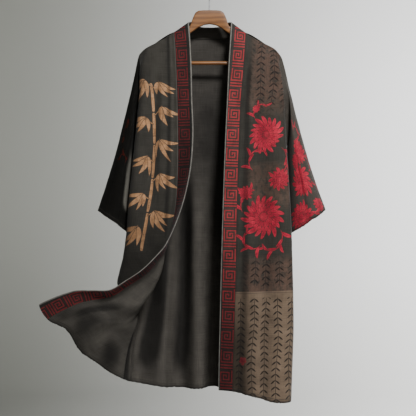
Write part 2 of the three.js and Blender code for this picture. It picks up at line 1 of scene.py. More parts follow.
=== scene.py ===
"""Looks of a long kimono worn open on a wooden hanger.

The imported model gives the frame. Each panel of cloth is made again on a fine grid from the same
hanging rows as the construction. Folds and creases are raised along the cloth's own normal from
short tables, and weave, prints, seams and wear are node materials that follow the cloth, read
from attributes that hold each point's place on it in metres.
"""
import logging
import math
import random
from dataclasses import dataclass, field
from enum import Enum
from typing import Callable

import bmesh
import bpy
import numpy as np
from mathutils import Matrix, Vector, noise


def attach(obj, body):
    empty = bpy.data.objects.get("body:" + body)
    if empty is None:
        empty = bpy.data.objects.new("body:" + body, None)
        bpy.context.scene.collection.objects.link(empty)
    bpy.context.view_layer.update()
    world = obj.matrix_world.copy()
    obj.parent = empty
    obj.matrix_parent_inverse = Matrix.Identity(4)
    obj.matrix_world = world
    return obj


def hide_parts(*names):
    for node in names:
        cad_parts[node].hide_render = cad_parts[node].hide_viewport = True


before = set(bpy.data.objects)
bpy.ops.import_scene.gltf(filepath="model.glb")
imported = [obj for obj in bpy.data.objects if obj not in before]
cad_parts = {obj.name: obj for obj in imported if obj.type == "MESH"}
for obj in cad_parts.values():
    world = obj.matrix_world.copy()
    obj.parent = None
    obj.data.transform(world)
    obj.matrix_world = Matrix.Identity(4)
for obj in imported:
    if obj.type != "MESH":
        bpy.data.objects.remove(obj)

LOG = logging.getLogger("kimono")
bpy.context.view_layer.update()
MM = 0.001

# Cloth, as in the construction; the tables of rows are in millimetres
CLOTH_WALL = 1.4 * MM
BAND_WALL = 2.2 * MM
PIPING_WALL = 2.6 * MM
GARMENT_LENGTH = 1130.0
BAND_WIDTH = 46.0
CORD_WIDTH = 3.6
SHOULDER_ROUND = 8.4
LOOKS_PER_ZONE = 2  # The outer face and the inner one
UNDERARM_ROW = 0.26
COLLAR_HEIGHT = 44.0
BAND_AT = 1.0
BAND_EDGE = 1.16
CORD_AT = BAND_EDGE - (BAND_EDGE - BAND_AT) * CORD_WIDTH / BAND_WIDTH

FRONT_COLUMNS = {"seam": 0.0, "side": 0.25, "mid": 0.5, "front": 0.75, "band": 1.0, "edge": 1.16}
BACK_COLUMNS = {
    "seamLeft": 0.0, "shoulderLeft": 0.12, "neckLeft": 0.26, "napeLeft": 0.36, "centre": 0.5,
    "napeRight": 0.64, "neckRight": 0.74, "shoulderRight": 0.88, "seamRight": 1.0,
}
SLEEVE_COLUMNS = {"underFront": 0.0, "front": 0.25, "top": 0.5, "back": 0.75, "underBack": 1.0}

LEFT_SHOULDER = {
    "seam": (-217, 0, -214), "side": (-196, 0, -195), "mid": (-168, 0, -180),
    "front": (-138, 0, -163), "band": (-108, 0, -144), "edge": (-63, 0, -113),
}
RIGHT_SHOULDER = {
    "seam": (217, 0, -214), "side": (197, 0, -195), "mid": (169, 0, -180),
    "front": (140, 0, -164), "band": (111, 0, -146), "edge": (66, 0, -113),
}

# Left front: it hangs closed above row 0.5, then its lower corner turns over to the left
LEFT_FRONT = [
    {"v": 0.05, "seam": (-212, -17, -268), "side": (-207, -30, -250), "mid": (-170, -30, -235),
     "front": (-137, -28, -219), "band": (-104, -25, -202), "edge": (-59, -20, -172)},
    {"v": 0.12, "seam": (-211, -24, -340), "side": (-209, -41, -325), "mid": (-173, -40, -313),
     "front": (-136, -37, -300), "band": (-100, -33, -288), "edge": (-55, -30, -257)},
    {"v": 0.2, "seam": (-218, -11, -425), "side": (-216, -44, -408), "mid": (-177, -46, -397),
     "front": (-136, -44, -387), "band": (-97, -40, -377), "edge": (-53, -38, -349)},
    {"v": 0.3, "seam": (-225, 6, -530), "side": (-227, -48, -516), "mid": (-184, -50, -506),
     "front": (-138, -48, -497), "band": (-95, -46, -488), "edge": (-49, -52, -465)},
    {"v": 0.4, "seam": (-226, 8, -636), "side": (-237, -50, -620), "mid": (-190, -54, -611),
     "front": (-140, -54, -603), "band": (-96, -58, -595), "edge": (-58, -80, -579)},
    {"v": 0.5, "seam": (-231, 10, -742), "side": (-247, -50, -726), "mid": (-190, -60, -716),
     "front": (-142, -66, -708), "band": (-104, -80, -701), "edge": (-84, -112, -689)},
    {"v": 0.6, "seam": (-238, 8, -848), "side": (-259, -52, -832), "mid": (-172, -66, -822),
     "front": (-137, -82, -816), "band": (-131, -104, -812), "edge": (-127, -142, -792)},
    {"v": 0.65, "seam": (-240, 2, -900), "side": (-269, -48, -880), "mid": (-160, -64, -862),
     "front": (-139, -84, -857), "band": (-156, -114, -848), "edge": (-162, -151, -835)},
    {"v": 0.7, "seam": (-238, -6, -950), "side": (-276, -46, -918), "mid": (-170, -60, -905),
     "front": (-154, -84, -899), "band": (-189, -118, -885), "edge": (-202, -155, -873)},
    {"v": 0.75, "seam": (-231, -20, -988), "side": (-256, -44, -968), "mid": (-193, -58, -952),
     "front": (-180, -84, -946), "band": (-238, -121, -918), "edge": (-247, -156, -903)},
    {"v": 0.8, "seam": (-219, -40, -1022), "side": (-226, -52, -1012), "mid": (-214, -68, -1002),
     "front": (-228, -100, -988), "band": (-288, -118, -950), "edge": (-293, -152, -930)},
    {"v": 0.85, "seam": (-233, -42, -1072), "side": (-243, -64, -1054), "mid": (-261, -88, -1032),
     "front": (-296, -110, -1002), "band": (-342, -118, -962), "edge": (-348, -143, -932)},
    {"v": 0.9, "seam": (-249, -42, -1122), "side": (-284, -84, -1078), "mid": (-320, -108, -1044),
     "front": (-357, -118, -1010), "band": (-395, -114, -975), "edge": (-405, -132, -935)},
    {"v": 1.0, "seam": (-262, -40, -1213), "side": (-320, -66, -1177), "mid": (-376, -84, -1133),
     "front": (-419, -98, -1066), "band": (-487, -92, -1023), "edge": (-511, -105, -977)},
]
RIGHT_FRONT = [
    {"v": 0.05, "seam": (214, -16, -268), "side": (211, -29, -252), "mid": (176, -31, -237),
     "front": (141, -29, -221), "band": (108, -24, -202), "edge": (63, -19, -170)},
    {"v": 0.12, "seam": (221, -24, -340), "side": (221, -38, -327), "mid": (180, -40, -312),
     "front": (141, -38, -297), "band": (102, -32, -280), "edge": (58, -28, -250)},
    {"v": 0.2, "seam": (227, -11, -427), "side": (225, -42, -412), "mid": (182, -44, -396),
     "front": (138, -42, -380), "band": (95, -37, -361), "edge": (54, -36, -340)},
    {"v": 0.35, "seam": (233, 9, -587), "side": (236, -48, -572), "mid": (188, -48, -555),
     "front": (138, -47, -540), "band": (88, -45, -524), "edge": (46, -46, -508)},
    {"v": 0.5, "seam": (236, 10, -746), "side": (246, -52, -738), "mid": (194, -53, -721),
     "front": (138, -53, -704), "band": (83, -52, -690), "edge": (40, -50, -680)},
    {"v": 0.65, "seam": (240, 10, -905), "side": (250, -54, -900), "mid": (197, -58, -885),
     "front": (138, -66, -870), "band": (80, -58, -858), "edge": (35, -50, -850)},
    {"v": 0.8, "seam": (242, 8, -1064), "side": (252, -56, -1062), "mid": (196, -64, -1047),
     "front": (134, -72, -1032), "band": (76, -62, -1025), "edge": (31, -50, -1020)},
    {"v": 0.92, "seam": (240, 6, -1192), "side": (248, -56, -1194), "mid": (192, -68, -1184),
     "front": (130, -76, -1166), "band": (71, -64, -1157), "edge": (28, -50, -1155)},
    {"v": 1.0, "seam": (237, 5, -1276), "side": (245, -56, -1279), "mid": (190, -74, -1277),
     "front": (132, -74, -1259), "band": (70, -64, -1246), "edge": (27, -50, -1245)},
]
BACK_TOP = {
    "shoulderLeft": (-180, 0, -187), "neckLeft": (-108, 0, -144), "napeLeft": (-66, 39, -155),
    "centre": (0, 50, -158), "napeRight": (68, 39, -155), "neckRight": (111, 0, -146),
    "shoulderRight": (181, 0, -187),
}
BACK_ROWS = [
    {"v": 0.05, "shoulderLeft": (-179, 31, -241), "neckLeft": (-112, 32, -208),
     "napeLeft": (-64, 45, -210), "centre": (0, 51, -213), "napeRight": (64, 45, -210),
     "neckRight": (114, 32, -208), "shoulderRight": (180, 31, -241)},
    {"v": 0.12, "shoulderLeft": (-180, 42, -317), "neckLeft": (-117, 47, -286),
     "napeLeft": (-63, 51, -287), "centre": (0, 53, -290), "napeRight": (64, 51, -287),
     "neckRight": (118, 47, -286), "shoulderRight": (182, 42, -317)},
    {"v": 0.2, "shoulderLeft": (-183, 46, -399), "neckLeft": (-120, 52, -375),
     "napeLeft": (-64, 53, -374), "centre": (0, 53, -378), "napeRight": (64, 53, -374),
     "neckRight": (122, 52, -375), "shoulderRight": (188, 46, -401)},
    {"v": 0.3, "shoulderLeft": (-188, 46, -502), "neckLeft": (-124, 54, -485),
     "napeLeft": (-65, 54, -485), "centre": (0, 54, -488), "napeRight": (66, 54, -485),
     "neckRight": (126, 54, -486), "shoulderRight": (192, 47, -505)},
    {"v": 0.5, "shoulderLeft": (-196, 50, -718), "neckLeft": (-128, 58, -706),
     "napeLeft": (-66, 58, -706), "centre": (0, 56, -708), "napeRight": (68, 56, -706),
     "neckRight": (132, 58, -712), "shoulderRight": (204, 52, -728)},
    {"v": 0.7, "shoulderLeft": (-202, 42, -934), "neckLeft": (-132, 60, -926),
     "napeLeft": (-66, 62, -926), "centre": (0, 60, -928), "napeRight": (70, 60, -930),
     "neckRight": (136, 62, -936), "shoulderRight": (210, 54, -948)},
    {"v": 0.8, "shoulderLeft": (-206, 22, -1030), "neckLeft": (-136, 58, -1034),
     "napeLeft": (-66, 62, -1036), "centre": (2, 62, -1038), "napeRight": (72, 62, -1042),
     "neckRight": (138, 62, -1048), "shoulderRight": (212, 54, -1058)},
    {"v": 0.9, "shoulderLeft": (-222, 8, -1128), "neckLeft": (-142, 54, -1140),
     "napeLeft": (-68, 64, -1146), "centre": (2, 64, -1148), "napeRight": (74, 62, -1152),
     "neckRight": (140, 62, -1158), "shoulderRight": (212, 52, -1166)},
    {"v": 1.0, "shoulderLeft": (-228, 0, -1230), "neckLeft": (-146, 48, -1252),
     "napeLeft": (-68, 62, -1260), "centre": (4, 64, -1257), "napeRight": (76, 62, -1260),
     "neckRight": (142, 60, -1268), "shoulderRight": (210, 48, -1276)},
]
COLLAR_RISE = {
    0.0: (45, 0, 31), 0.07: (43, 5, 33), 0.25: (22, 5, 38), 0.5: (0, 6, 39),
    0.75: (-22, 5, 38), 0.93: (-43, 5, 33), 1.0: (-45, 0, 33),
}
LEFT_SLEEVE = [
    {"v": 0.0, "underFront": (-221, 0, -466), "front": (-209, -24, -340), "top": (-217, 0, -214),
     "back": (-209, 24, -340), "underBack": (-221, 0, -466)},
    {"v": 0.05, "underFront": (-226, 2, -474), "front": (-224, -25, -348), "top": (-222, 0, -232),
     "back": (-224, 26, -348), "underBack": (-226, 8, -474)},
    {"v": 0.25, "underFront": (-231, 8, -540), "front": (-237, -40, -425), "top": (-239, 0, -314),
     "back": (-238, 34, -425), "underBack": (-231, 16, -540)},
    {"v": 0.5, "underFront": (-237, 12, -614), "front": (-249, -50, -522), "top": (-268, 0, -434),
     "back": (-254, 40, -522), "underBack": (-237, 20, -614)},
    {"v": 0.75, "underFront": (-243, 14, -690), "front": (-263, -52, -627), "top": (-302, 0, -562),
     "back": (-273, 42, -627), "underBack": (-243, 22, -690)},
    {"v": 1.0, "underFront": (-250, 14, -770), "front": (-282, -48, -738), "top": (-346, 0, -697),
     "back": (-297, 40, -735), "underBack": (-250, 22, -770)},
]
RIGHT_SLEEVE = [
    {"v": 0.0, "underFront": (221, 0, -470), "front": (212, -24, -340), "top": (217, 0, -214),
     "back": (212, 24, -340), "underBack": (221, 0, -470)},
    {"v": 0.05, "underFront": (233, 2, -478), "front": (235, -25, -348), "top": (226, 0, -232),
     "back": (233, 26, -348), "underBack": (233, 8, -478)},
    {"v": 0.25, "underFront": (237, 8, -542), "front": (250, -38, -426), "top": (246, 0, -314),
     "back": (249, 34, -426), "underBack": (237, 16, -542)},
    {"v": 0.5, "underFront": (241, 12, -615), "front": (264, -46, -524), "top": (276, 0, -434),
     "back": (262, 40, -524), "underBack": (241, 20, -615)},
    {"v": 0.75, "underFront": (245, 14, -692), "front": (286, -46, -628), "top": (313, 0, -562),
     "back": (283, 42, -628), "underBack": (245, 22, -692)},
    {"v": 1.0, "underFront": (250, 14, -770), "front": (307, -42, -731), "top": (359, 0, -694),
     "back": (304, 40, -734), "underBack": (250, 22, -770)},
]


@dataclass(frozen=True)
class Fold:
    """A fold that runs down a panel.

    It lies at `at` across the panel and drifts by `lean`, is `reach` wide each way, lifts the
    cloth by `lift` millimetres towards its outer face, grows between rows `start` and `full`,
    and has gone by row `end`.
    """

    at: float
    lean: float
    reach: float
    lift: float
    start: float
    full: float
    end: float = 1.2


LEFT_FRONT_FOLDS = (
    Fold(0.34, -0.02, 0.1, 7, 0.08, 0.25, 0.56), Fold(0.56, 0.02, 0.07, -8, 0.04, 0.14, 0.5),
    Fold(0.72, 0.02, 0.09, 6, 0.05, 0.2, 0.5), Fold(0.3, 0.06, 0.12, 10, 0.82, 0.95),
    Fold(0.6, 0.02, 0.1, -9, 0.82, 0.98), Fold(0.86, 0, 0.09, 8, 0.85, 0.98),
)
RIGHT_FRONT_FOLDS = (
    Fold(0.38, 0.04, 0.12, 7, 0.1, 0.35), Fold(0.62, -0.04, 0.11, -6, 0.2, 0.5),
    Fold(0.8, -0.02, 0.1, 6, 0.4, 0.75),
)
BACK_FOLDS = (
    Fold(0.15, 0, 0.05, -28, 0.45, 0.78), Fold(0.25, 0, 0.05, 18, 0.3, 0.62),
    Fold(0.325, 0, 0.04, -30, 0.3, 0.6), Fold(0.42, 0, 0.05, 16, 0.3, 0.6),
    Fold(0.51, 0, 0.042, -24, 0.3, 0.62), Fold(0.61, -0.01, 0.05, 14, 0.25, 0.65),
    Fold(0.73, 0, 0.05, -20, 0.3, 0.7), Fold(0.85, 0, 0.045, 11, 0.3, 0.75),
)
# Where the cloth is coloured paler or darker: painted shade along the bottoms of folds and painted
# highlight on their ridges; `lift` is read as a shade here and moves nothing
BACK_SHADES = (
    Fold(0.328, -0.155, 0.036, -34, 0.45, 0.7, 0.99),
    Fold(0.37, -0.046, 0.034, -32, 0.3, 0.6, 1.0),
    Fold(0.29, 0, 0.05, 14, 0.4, 0.7), Fold(0.45, 0, 0.06, 14, 0.3, 0.6),
    Fold(0.14, -0.02, 0.05, 14, 0.6, 0.8), Fold(0.7, 0, 0.08, -12, 0.2, 0.4),
    Fold(0.57, 0, 0.16, -10, 0.12, 0.25, 0.62), Fold(0.5, 0, 0.35, -4, -0.2, -0.1, 0.4),
)
# Painted shade and painted highlight on the left front, with dark painted patches on its
# turned-over lower corner
LEFT_FRONT_SHADES = (
    Fold(0.92, -0.02, 0.025, 16, -0.1, 0.0, 0.5), Fold(0.84, -0.04, 0.035, -16, -0.1, 0.0, 0.6),
    Fold(0.6, 0.04, 0.1, 6, -0.1, 0.0, 0.3), Fold(0.2, 0, 0.1, -14, -0.05, 0.05, 0.82),
    Fold(0.5, 0, 0.4, -9, 0.42, 0.66, 0.82),
    Fold(0.68, 0, 0.09, -20, 0.86, 0.92, 1.02), Fold(0.2, 0, 0.1, -20, 0.89, 0.94, 1.04),
    Fold(0.85, 0, 0.06, -20, 0.78, 0.84, 0.98), Fold(0.42, 0, 0.08, 10, 0.8, 0.86, 1.0),
    Fold(0.8, 0, 0.12, 14, 0.6, 0.66, 0.84),
    Fold(0.84, 0, 0.07, 14, 0.9, 0.98),
)
# Painted shade beside the right front's band, and painted shade and highlight along its folds
RIGHT_FRONT_SHADES = (
    Fold(0.89, -0.01, 0.04, -20, 0.05, 0.12, 1.2), Fold(0.8, 0.0, 0.04, 8, 0.0, 0.1, 0.3),
    Fold(0.38, 0.04, 0.1, 8, 0.1, 0.3), Fold(0.62, -0.04, 0.08, -8, 0.2, 0.5),
)
# Painted shade over the whole left sleeve, and a painted highlight as a lit streak near the body
SLEEVE_LEFT_SHADES = (
    Fold(0.25, 0, 0.5, -18, -0.2, -0.1, 2.0), Fold(0.1, 0, 0.07, 64, 0.3, 0.6, 0.88),
)
SLEEVE_FOLDS = (
    Fold(0.2, 0.03, 0.09, 7, 0.3, 0.7, 1.3), Fold(0.33, 0.02, 0.07, -6, 0.3, 0.7, 1.3),
    Fold(0.68, -0.02, 0.08, -6, 0.3, 0.7, 1.3), Fold(0.8, -0.02, 0.08, 7, 0.35, 0.75, 1.3),
)


def ease(low: float, high: float, value: np.ndarray) -> np.ndarray:
    """Ease from 0 at `low` to 1 at `high`.

    Args:
        low: Where the rise starts.
        high: Where it ends.
        value: The places to evaluate.

    Returns:
        The eased shares, as an array.
    """
    t = np.clip((np.asarray(value, float) - low) / (high - low), 0.0, 1.0)
    return t * t * (3 - 2 * t)


def spline(knots: np.ndarray, values: np.ndarray, places: np.ndarray) -> np.ndarray:
    """Evaluate a smooth curve through values at uneven knots.

    Args:
        knots: Rising knot places.
        values: One value of any shape for each knot, along the first axis.
        places: Places to evaluate; those past the ends go straight on.

    Returns:
        The values at the places, along the first axis.
    """
    knots = np.asarray(knots, float)
    values = np.asarray(values, float)
    places = np.asarray(places, float)
    wide = (-1,) + (1,) * (values.ndim - 1)
    chord = (values[1:] - values[:-1]) / np.diff(knots).reshape(wide)
    inner = (values[2:] - values[:-2]) / (knots[2:] - knots[:-2]).reshape(wide)
    slope = np.concatenate([2 * chord[:1] - inner[:1], inner, 2 * chord[-1:] - inner[-1:]])
    i = np.clip(np.searchsorted(knots, places) - 1, 0, len(knots) - 2)
    h = (knots[i + 1] - knots[i]).reshape(wide)
    s = ((places - knots[i])).reshape(wide) / h
    return (
        values[i] * (1 + 2 * s) * (1 - s) ** 2 + slope[i] * h * s * (1 - s) ** 2
        + values[i + 1] * s * s * (3 - 2 * s) + slope[i + 1] * h * s * s * (s - 1)
    )


Surface = Callable[[np.ndarray, np.ndarray], np.ndarray]


def cloth_net(columns: dict, rows: list) -> Surface:
    """Make a surface through rows with named columns.

    Args:
        columns: Each column's place across the cloth.
        rows: Each row's place `v` down the cloth and its points in millimetres.

    Returns:
        A function of places across and down that gives a grid of points, rows first.
    """
    across = np.array(list(columns.values()))
    along = np.array([row["v"] for row in rows])
    points = np.array([[row[name] for row in rows] for name in columns], float)

    def surface(us: np.ndarray, vs: np.ndarray) -> np.ndarray:
        """Give the points at places across and down."""
        crossed = spline(across, points, us)
        return spline(along, crossed.transpose(1, 0, 2), vs)

    return surface


def shoulder_rows(top: dict, way: int, flat: tuple = ()) -> list:
    """Carry the cloth round the top of the hanger.

    Args:
        top: The shoulder's points.
        way: -1 for cloth that hangs in front and 1 for cloth that hangs behind.
        flat: Columns that go straight down instead, because nothing is under them.

    Returns:
        The rows over the shoulder.
    """
    rows = []
    for degrees in (0, 30, 60, 90):
        angle = math.radians(degrees)
        row = {"v": SHOULDER_ROUND * angle / GARMENT_LENGTH}
        for name, (x, y, z) in top.items():
            bent = name not in flat
            out = SHOULDER_ROUND * math.sin(angle) if bent else 0.0
            drop = SHOULDER_ROUND * ((1 - math.cos(angle)) if bent else angle)
            row[name] = (x, y + way * out, z - drop)
        rows.append(row)
    return rows


def normals_of(surface: Surface, us: np.ndarray, vs: np.ndarray, face: int) -> np.ndarray:
    """Unit vectors out of a surface over a grid.

    Args:
        surface: The surface.
        us: Places across.
        vs: Places down.
        face: 1 or -1, the side that is the cloth's outer face.

    Returns:
        The normals, rows first.
    """
    step = 1e-4
    du = surface(us + step, vs) - surface(us - step, vs)
    dv = surface(us, vs + step) - surface(us, vs - step)
    out = np.cross(du, dv)
    return face * out / np.linalg.norm(out, axis=-1, keepdims=True)


def fold_lift(folds: tuple, us: np.ndarray, vs: np.ndarray) -> np.ndarray:
    """How far folds lift the cloth over a grid, in millimetres, fading at the side seams."""
    u, v = us[None, :], vs[:, None]
    free = ease(0.0, 0.12, u) * (1 - ease(0.88, 1.0, u))
    total = np.zeros((len(vs), len(us)))
    for fold in folds:
        centre = fold.at + fold.lean * v
        near = np.maximum(0, 1 - ((u - centre) / (2 * fold.reach)) ** 2) ** 3
        grow = ease(fold.start, fold.full, v) * (1 - ease(fold.end - 0.1, fold.end, v))
        total += fold.lift * near * grow
    return free * total


def folded(surface: Surface, folds: tuple, face: int) -> Surface:
    """A surface with its folds raised along its own normal."""

    def raised(us: np.ndarray, vs: np.ndarray) -> np.ndarray:
        """Give the folded points at places across and down."""
        lift = fold_lift(folds, us, vs)[..., None]
        return surface(us, vs) + normals_of(surface, us, vs, face) * lift

    return raised


class Finish(Enum):
    """Names of the material slots that the record gives."""

    FRONT_LEFT = "cloth_front_left"
    FRONT_RIGHT = "cloth_front_right"
    BACK = "cloth_back"
    SLEEVE_LEFT = "cloth_sleeve_left"
    SLEEVE_RIGHT = "cloth_sleeve_right"
    BAND = "band"
    PIPING = "piping"
    WOOD = "wood"
    STEEL = "steel"


@dataclass(frozen=True)
class Crumple:
    """How strongly a panel of cloth is creased, in millimetres."""

    soft: float = 1.6
    fine: float = 0.45
    seed: float = 0.0


def crumple_lift(cloth: np.ndarray, crumple: Crumple) -> np.ndarray:
    """Uneven creases from noise that is long down the cloth and short across it.

    Args:
        cloth: Each point's place on the cloth in metres, rows first.
        crumple: How strong the creases are.

    Returns:
        The lifts in millimetres, in the grid's shape.
    """
    lifts = np.zeros(cloth.shape[:2])
    for j in range(cloth.shape[0]):
        for i in range(cloth.shape[1]):
            x, y = cloth[j, i, 0], cloth[j, i, 1]
            soft = noise.noise(Vector((x * 15 + crumple.seed, y * 4.2, crumple.seed)))
            slant = noise.noise(Vector((x * 34 + y * 9, y * 13 - x * 5, crumple.seed + 7)))
            fine = noise.noise(Vector((x * 95, y * 60 + x * 20, crumple.seed + 3)))
            ridged = 1 - 2 * abs(slant)
            lifts[j, i] = crumple.soft * soft + crumple.fine * (ridged + 0.5 * fine)
    return lifts


@dataclass
class Cloth:
    """A panel of cloth on a fine grid, and where each of its points lies on the flat panel.

    `across`, `down` and `cells` give the grid's ends and its size, and `face` and `wall` the side
    that is the outer one and the thickness. Places across are measured from `origin`, positive
    in the direction `way`, and a `strip` is measured along its own middle line. `painted_shading`
    darkens the colour as painted shade and lightens it as painted highlight, and `fray` is how
    far the hem's threads stand out, in millimetres.
    `zones` are the places down where one material gives way to the next, and `tuck` is how
    far the first side, the last side and the hem turn in, in millimetres.
    """

    name: str
    surface: Surface
    across: tuple
    down: tuple
    cells: tuple
    face: int
    wall: float
    crumple: Crumple = field(default_factory=Crumple)
    origin: float = 1.0
    way: int = 1
    strip: bool = False
    painted_shading: tuple = ()
    fray: float = 0.0
    zones: tuple = ()
    tuck: tuple = (0.0, 0.0, 0.0)

    def places(self) -> tuple:
        """The grid's places across and down, close together over the shoulder."""
        us = np.linspace(self.across[0], self.across[1], self.cells[0] + 1)
        vs = np.linspace(self.down[0], self.down[1], self.cells[1] + 1)
        if self.down[0] < 0.01 and self.down[1] > 0.9:
            top = np.linspace(self.down[0], 0.02, 12)
            vs = np.concatenate([top, np.linspace(0.02, self.down[1], self.cells[1] - 10)[1:]])
        return us, vs

    def measure(self, points: np.ndarray, us: np.ndarray) -> tuple:
        """Places on the cloth and distances to its edges, in metres.

        Args:
            points: The grid's points in millimetres.
            us: The grid's places across.

        Returns:
            The places (across from `origin`, down, and a zero where the painted shading goes) and
            the distances to the edges (first side, hem, last side).
        """
        side = np.linalg.norm(np.diff(points, axis=1), axis=-1).cumsum(axis=1) * MM
        side = np.pad(side, ((0, 0), (1, 0)))
        down = np.linalg.norm(np.diff(points, axis=0), axis=-1).cumsum(axis=0) * MM
        down = np.pad(down, ((1, 0), (0, 0)))
        start = int(np.argmin(np.abs(us - self.origin)))
        across = (side - side[:, start:start + 1]) * self.way
        place = self.along_strip(points, down) if self.strip else down + self.drop(points, start)
        cloth = np.stack([across, place, np.zeros_like(down)], axis=-1)
        edges = np.stack([side, down[-1:] - down, side[:, -1:] - side], axis=-1)
        return cloth, edges

    @staticmethod
    def drop(points: np.ndarray, start: int) -> np.ndarray:
        """How far each column's top lies below the top at the origin, in metres."""
        return (points[0, start, 2] - points[:1, :, 2]) * MM

    @staticmethod
    def along_strip(points: np.ndarray, down: np.ndarray) -> np.ndarray:
        """Places along a strip, square to its middle line, in metres."""
        middle = points.shape[1] // 2
        line = points[:, middle]
        run = np.gradient(line, axis=0)
        run /= np.linalg.norm(run, axis=-1, keepdims=True)
        over_hanger = 14
        run[:over_hanger] = run[over_hanger]
        slip = np.einsum("jik,jk->ji", points - line[:, None], run)
        return down[:, middle:middle + 1] + slip * MM

    def build(self) -> bpy.types.Object:
        """Make the panel's mesh with its wall, its smooth shading and its cloth attributes.

        Returns:
            The new object, linked to the scene.
        """
        us, vs = self.places()
        base = self.surface(us, vs)
        cloth, edges = self.measure(base, us)
        # The third place holds the painted shading, which the materials paint as shade and
        # highlight
        cloth[..., 2] = fold_lift(self.painted_shading, us, vs) * MM
        lift = crumple_lift(cloth, self.crumple)
        rim = np.minimum(edges[..., 0], edges[..., 2])
        lift *= ease(0.0, 0.02, rim) * ease(0.0, 0.03, cloth[..., 1]) * 0.85 + 0.15
        first, last, hem = self.tuck
        lift -= first * (1 - ease(0.0, 0.008, edges[..., 0]))
        lift -= last * (1 - ease(0.0, 0.008, edges[..., 2]))
        lift -= hem * (1 - ease(0.0, 0.006, edges[..., 1]))
        points = base + normals_of(self.surface, us, vs, self.face) * lift[..., None]
        if self.fray:
            self.roughen_hem(points, cloth)
        return self.mesh(points * MM, cloth, edges)

    def roughen_hem(self, points: np.ndarray, cloth: np.ndarray) -> None:
        """Let the lowest row of points rise and fall a little, like cloth that has frayed."""
        run = points[-1] - points[-2]
        run /= np.linalg.norm(run, axis=-1, keepdims=True)
        for i, x in enumerate(cloth[-1, :, 0]):
            rise = noise.noise(Vector((x * 260, self.crumple.seed, 0.0)))
            wave = noise.noise(Vector((x * 60, self.crumple.seed, 5.0)))
            points[-1, i] += run[i] * self.fray * (rise + 0.6 * wave)

    def mesh(self, points: np.ndarray, cloth: np.ndarray, edges: np.ndarray) -> bpy.types.Object:
        """Bend a flat grid into the panel and give it its wall."""
        rows, columns = points.shape[:2]
        made = bmesh.new()
        bmesh.ops.create_grid(made, x_segments=columns - 1, y_segments=rows - 1, size=1.0)
        on_cloth = made.verts.layers.float_vector.new("cloth")
        to_edges = made.verts.layers.float_vector.new("edges")
        for vert in made.verts:
            i = round((vert.co.x + 1) / 2 * (columns - 1))
            j = round((1 - vert.co.y) / 2 * (rows - 1))
            vert[on_cloth] = cloth[j, i]
            vert[to_edges] = edges[j, i]
            vert.co = points[j, i]
        if self.face > 0:
            bmesh.ops.reverse_faces(made, faces=made.faces)
        for each in made.faces:
            each.smooth = True
            middle = sum(vert[on_cloth].y for vert in each.verts) / len(each.verts)
            passed = sum(middle > limit for limit in self.zones)
            each.material_index = LOOKS_PER_ZONE * passed
        mesh = bpy.data.meshes.new(self.name)
        made.to_mesh(mesh)
        made.free()
        piece = bpy.data.objects.new(self.name, mesh)
        bpy.context.collection.objects.link(piece)
        wall = piece.modifiers.new("wall", "SOLIDIFY")
        wall.thickness = self.wall
        wall.offset = 0.0
        wall.use_even_offset = False
        wall.material_offset = 1
        wall.material_offset_rim = 0
        return piece


def finish_piece(piece: bpy.types.Object, node: str, finish: Finish, looks: list) -> None:
    """Dress a piece and tie it to the frame.

    Args:
        piece: The new object.
        node: The CAD node that it stands for.
        finish: The record's slot for its finish; not used.
        looks: Its materials: the outer face, then the inner one.
    """
    for look in looks:
        piece.data.materials.append(look)
    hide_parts(node)
    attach(piece, "root")
    LOG.info("%s: %d faces", piece.name, len(piece.data.polygons))


def cloth_area(piece: bpy.types.Object) -> float:
    """The area of a panel's single sheet, in square metres."""
    return sum(polygon.area for polygon in piece.data.polygons)


# A node's socket or a constant for one, and a linear colour
Value = object
RGB = tuple


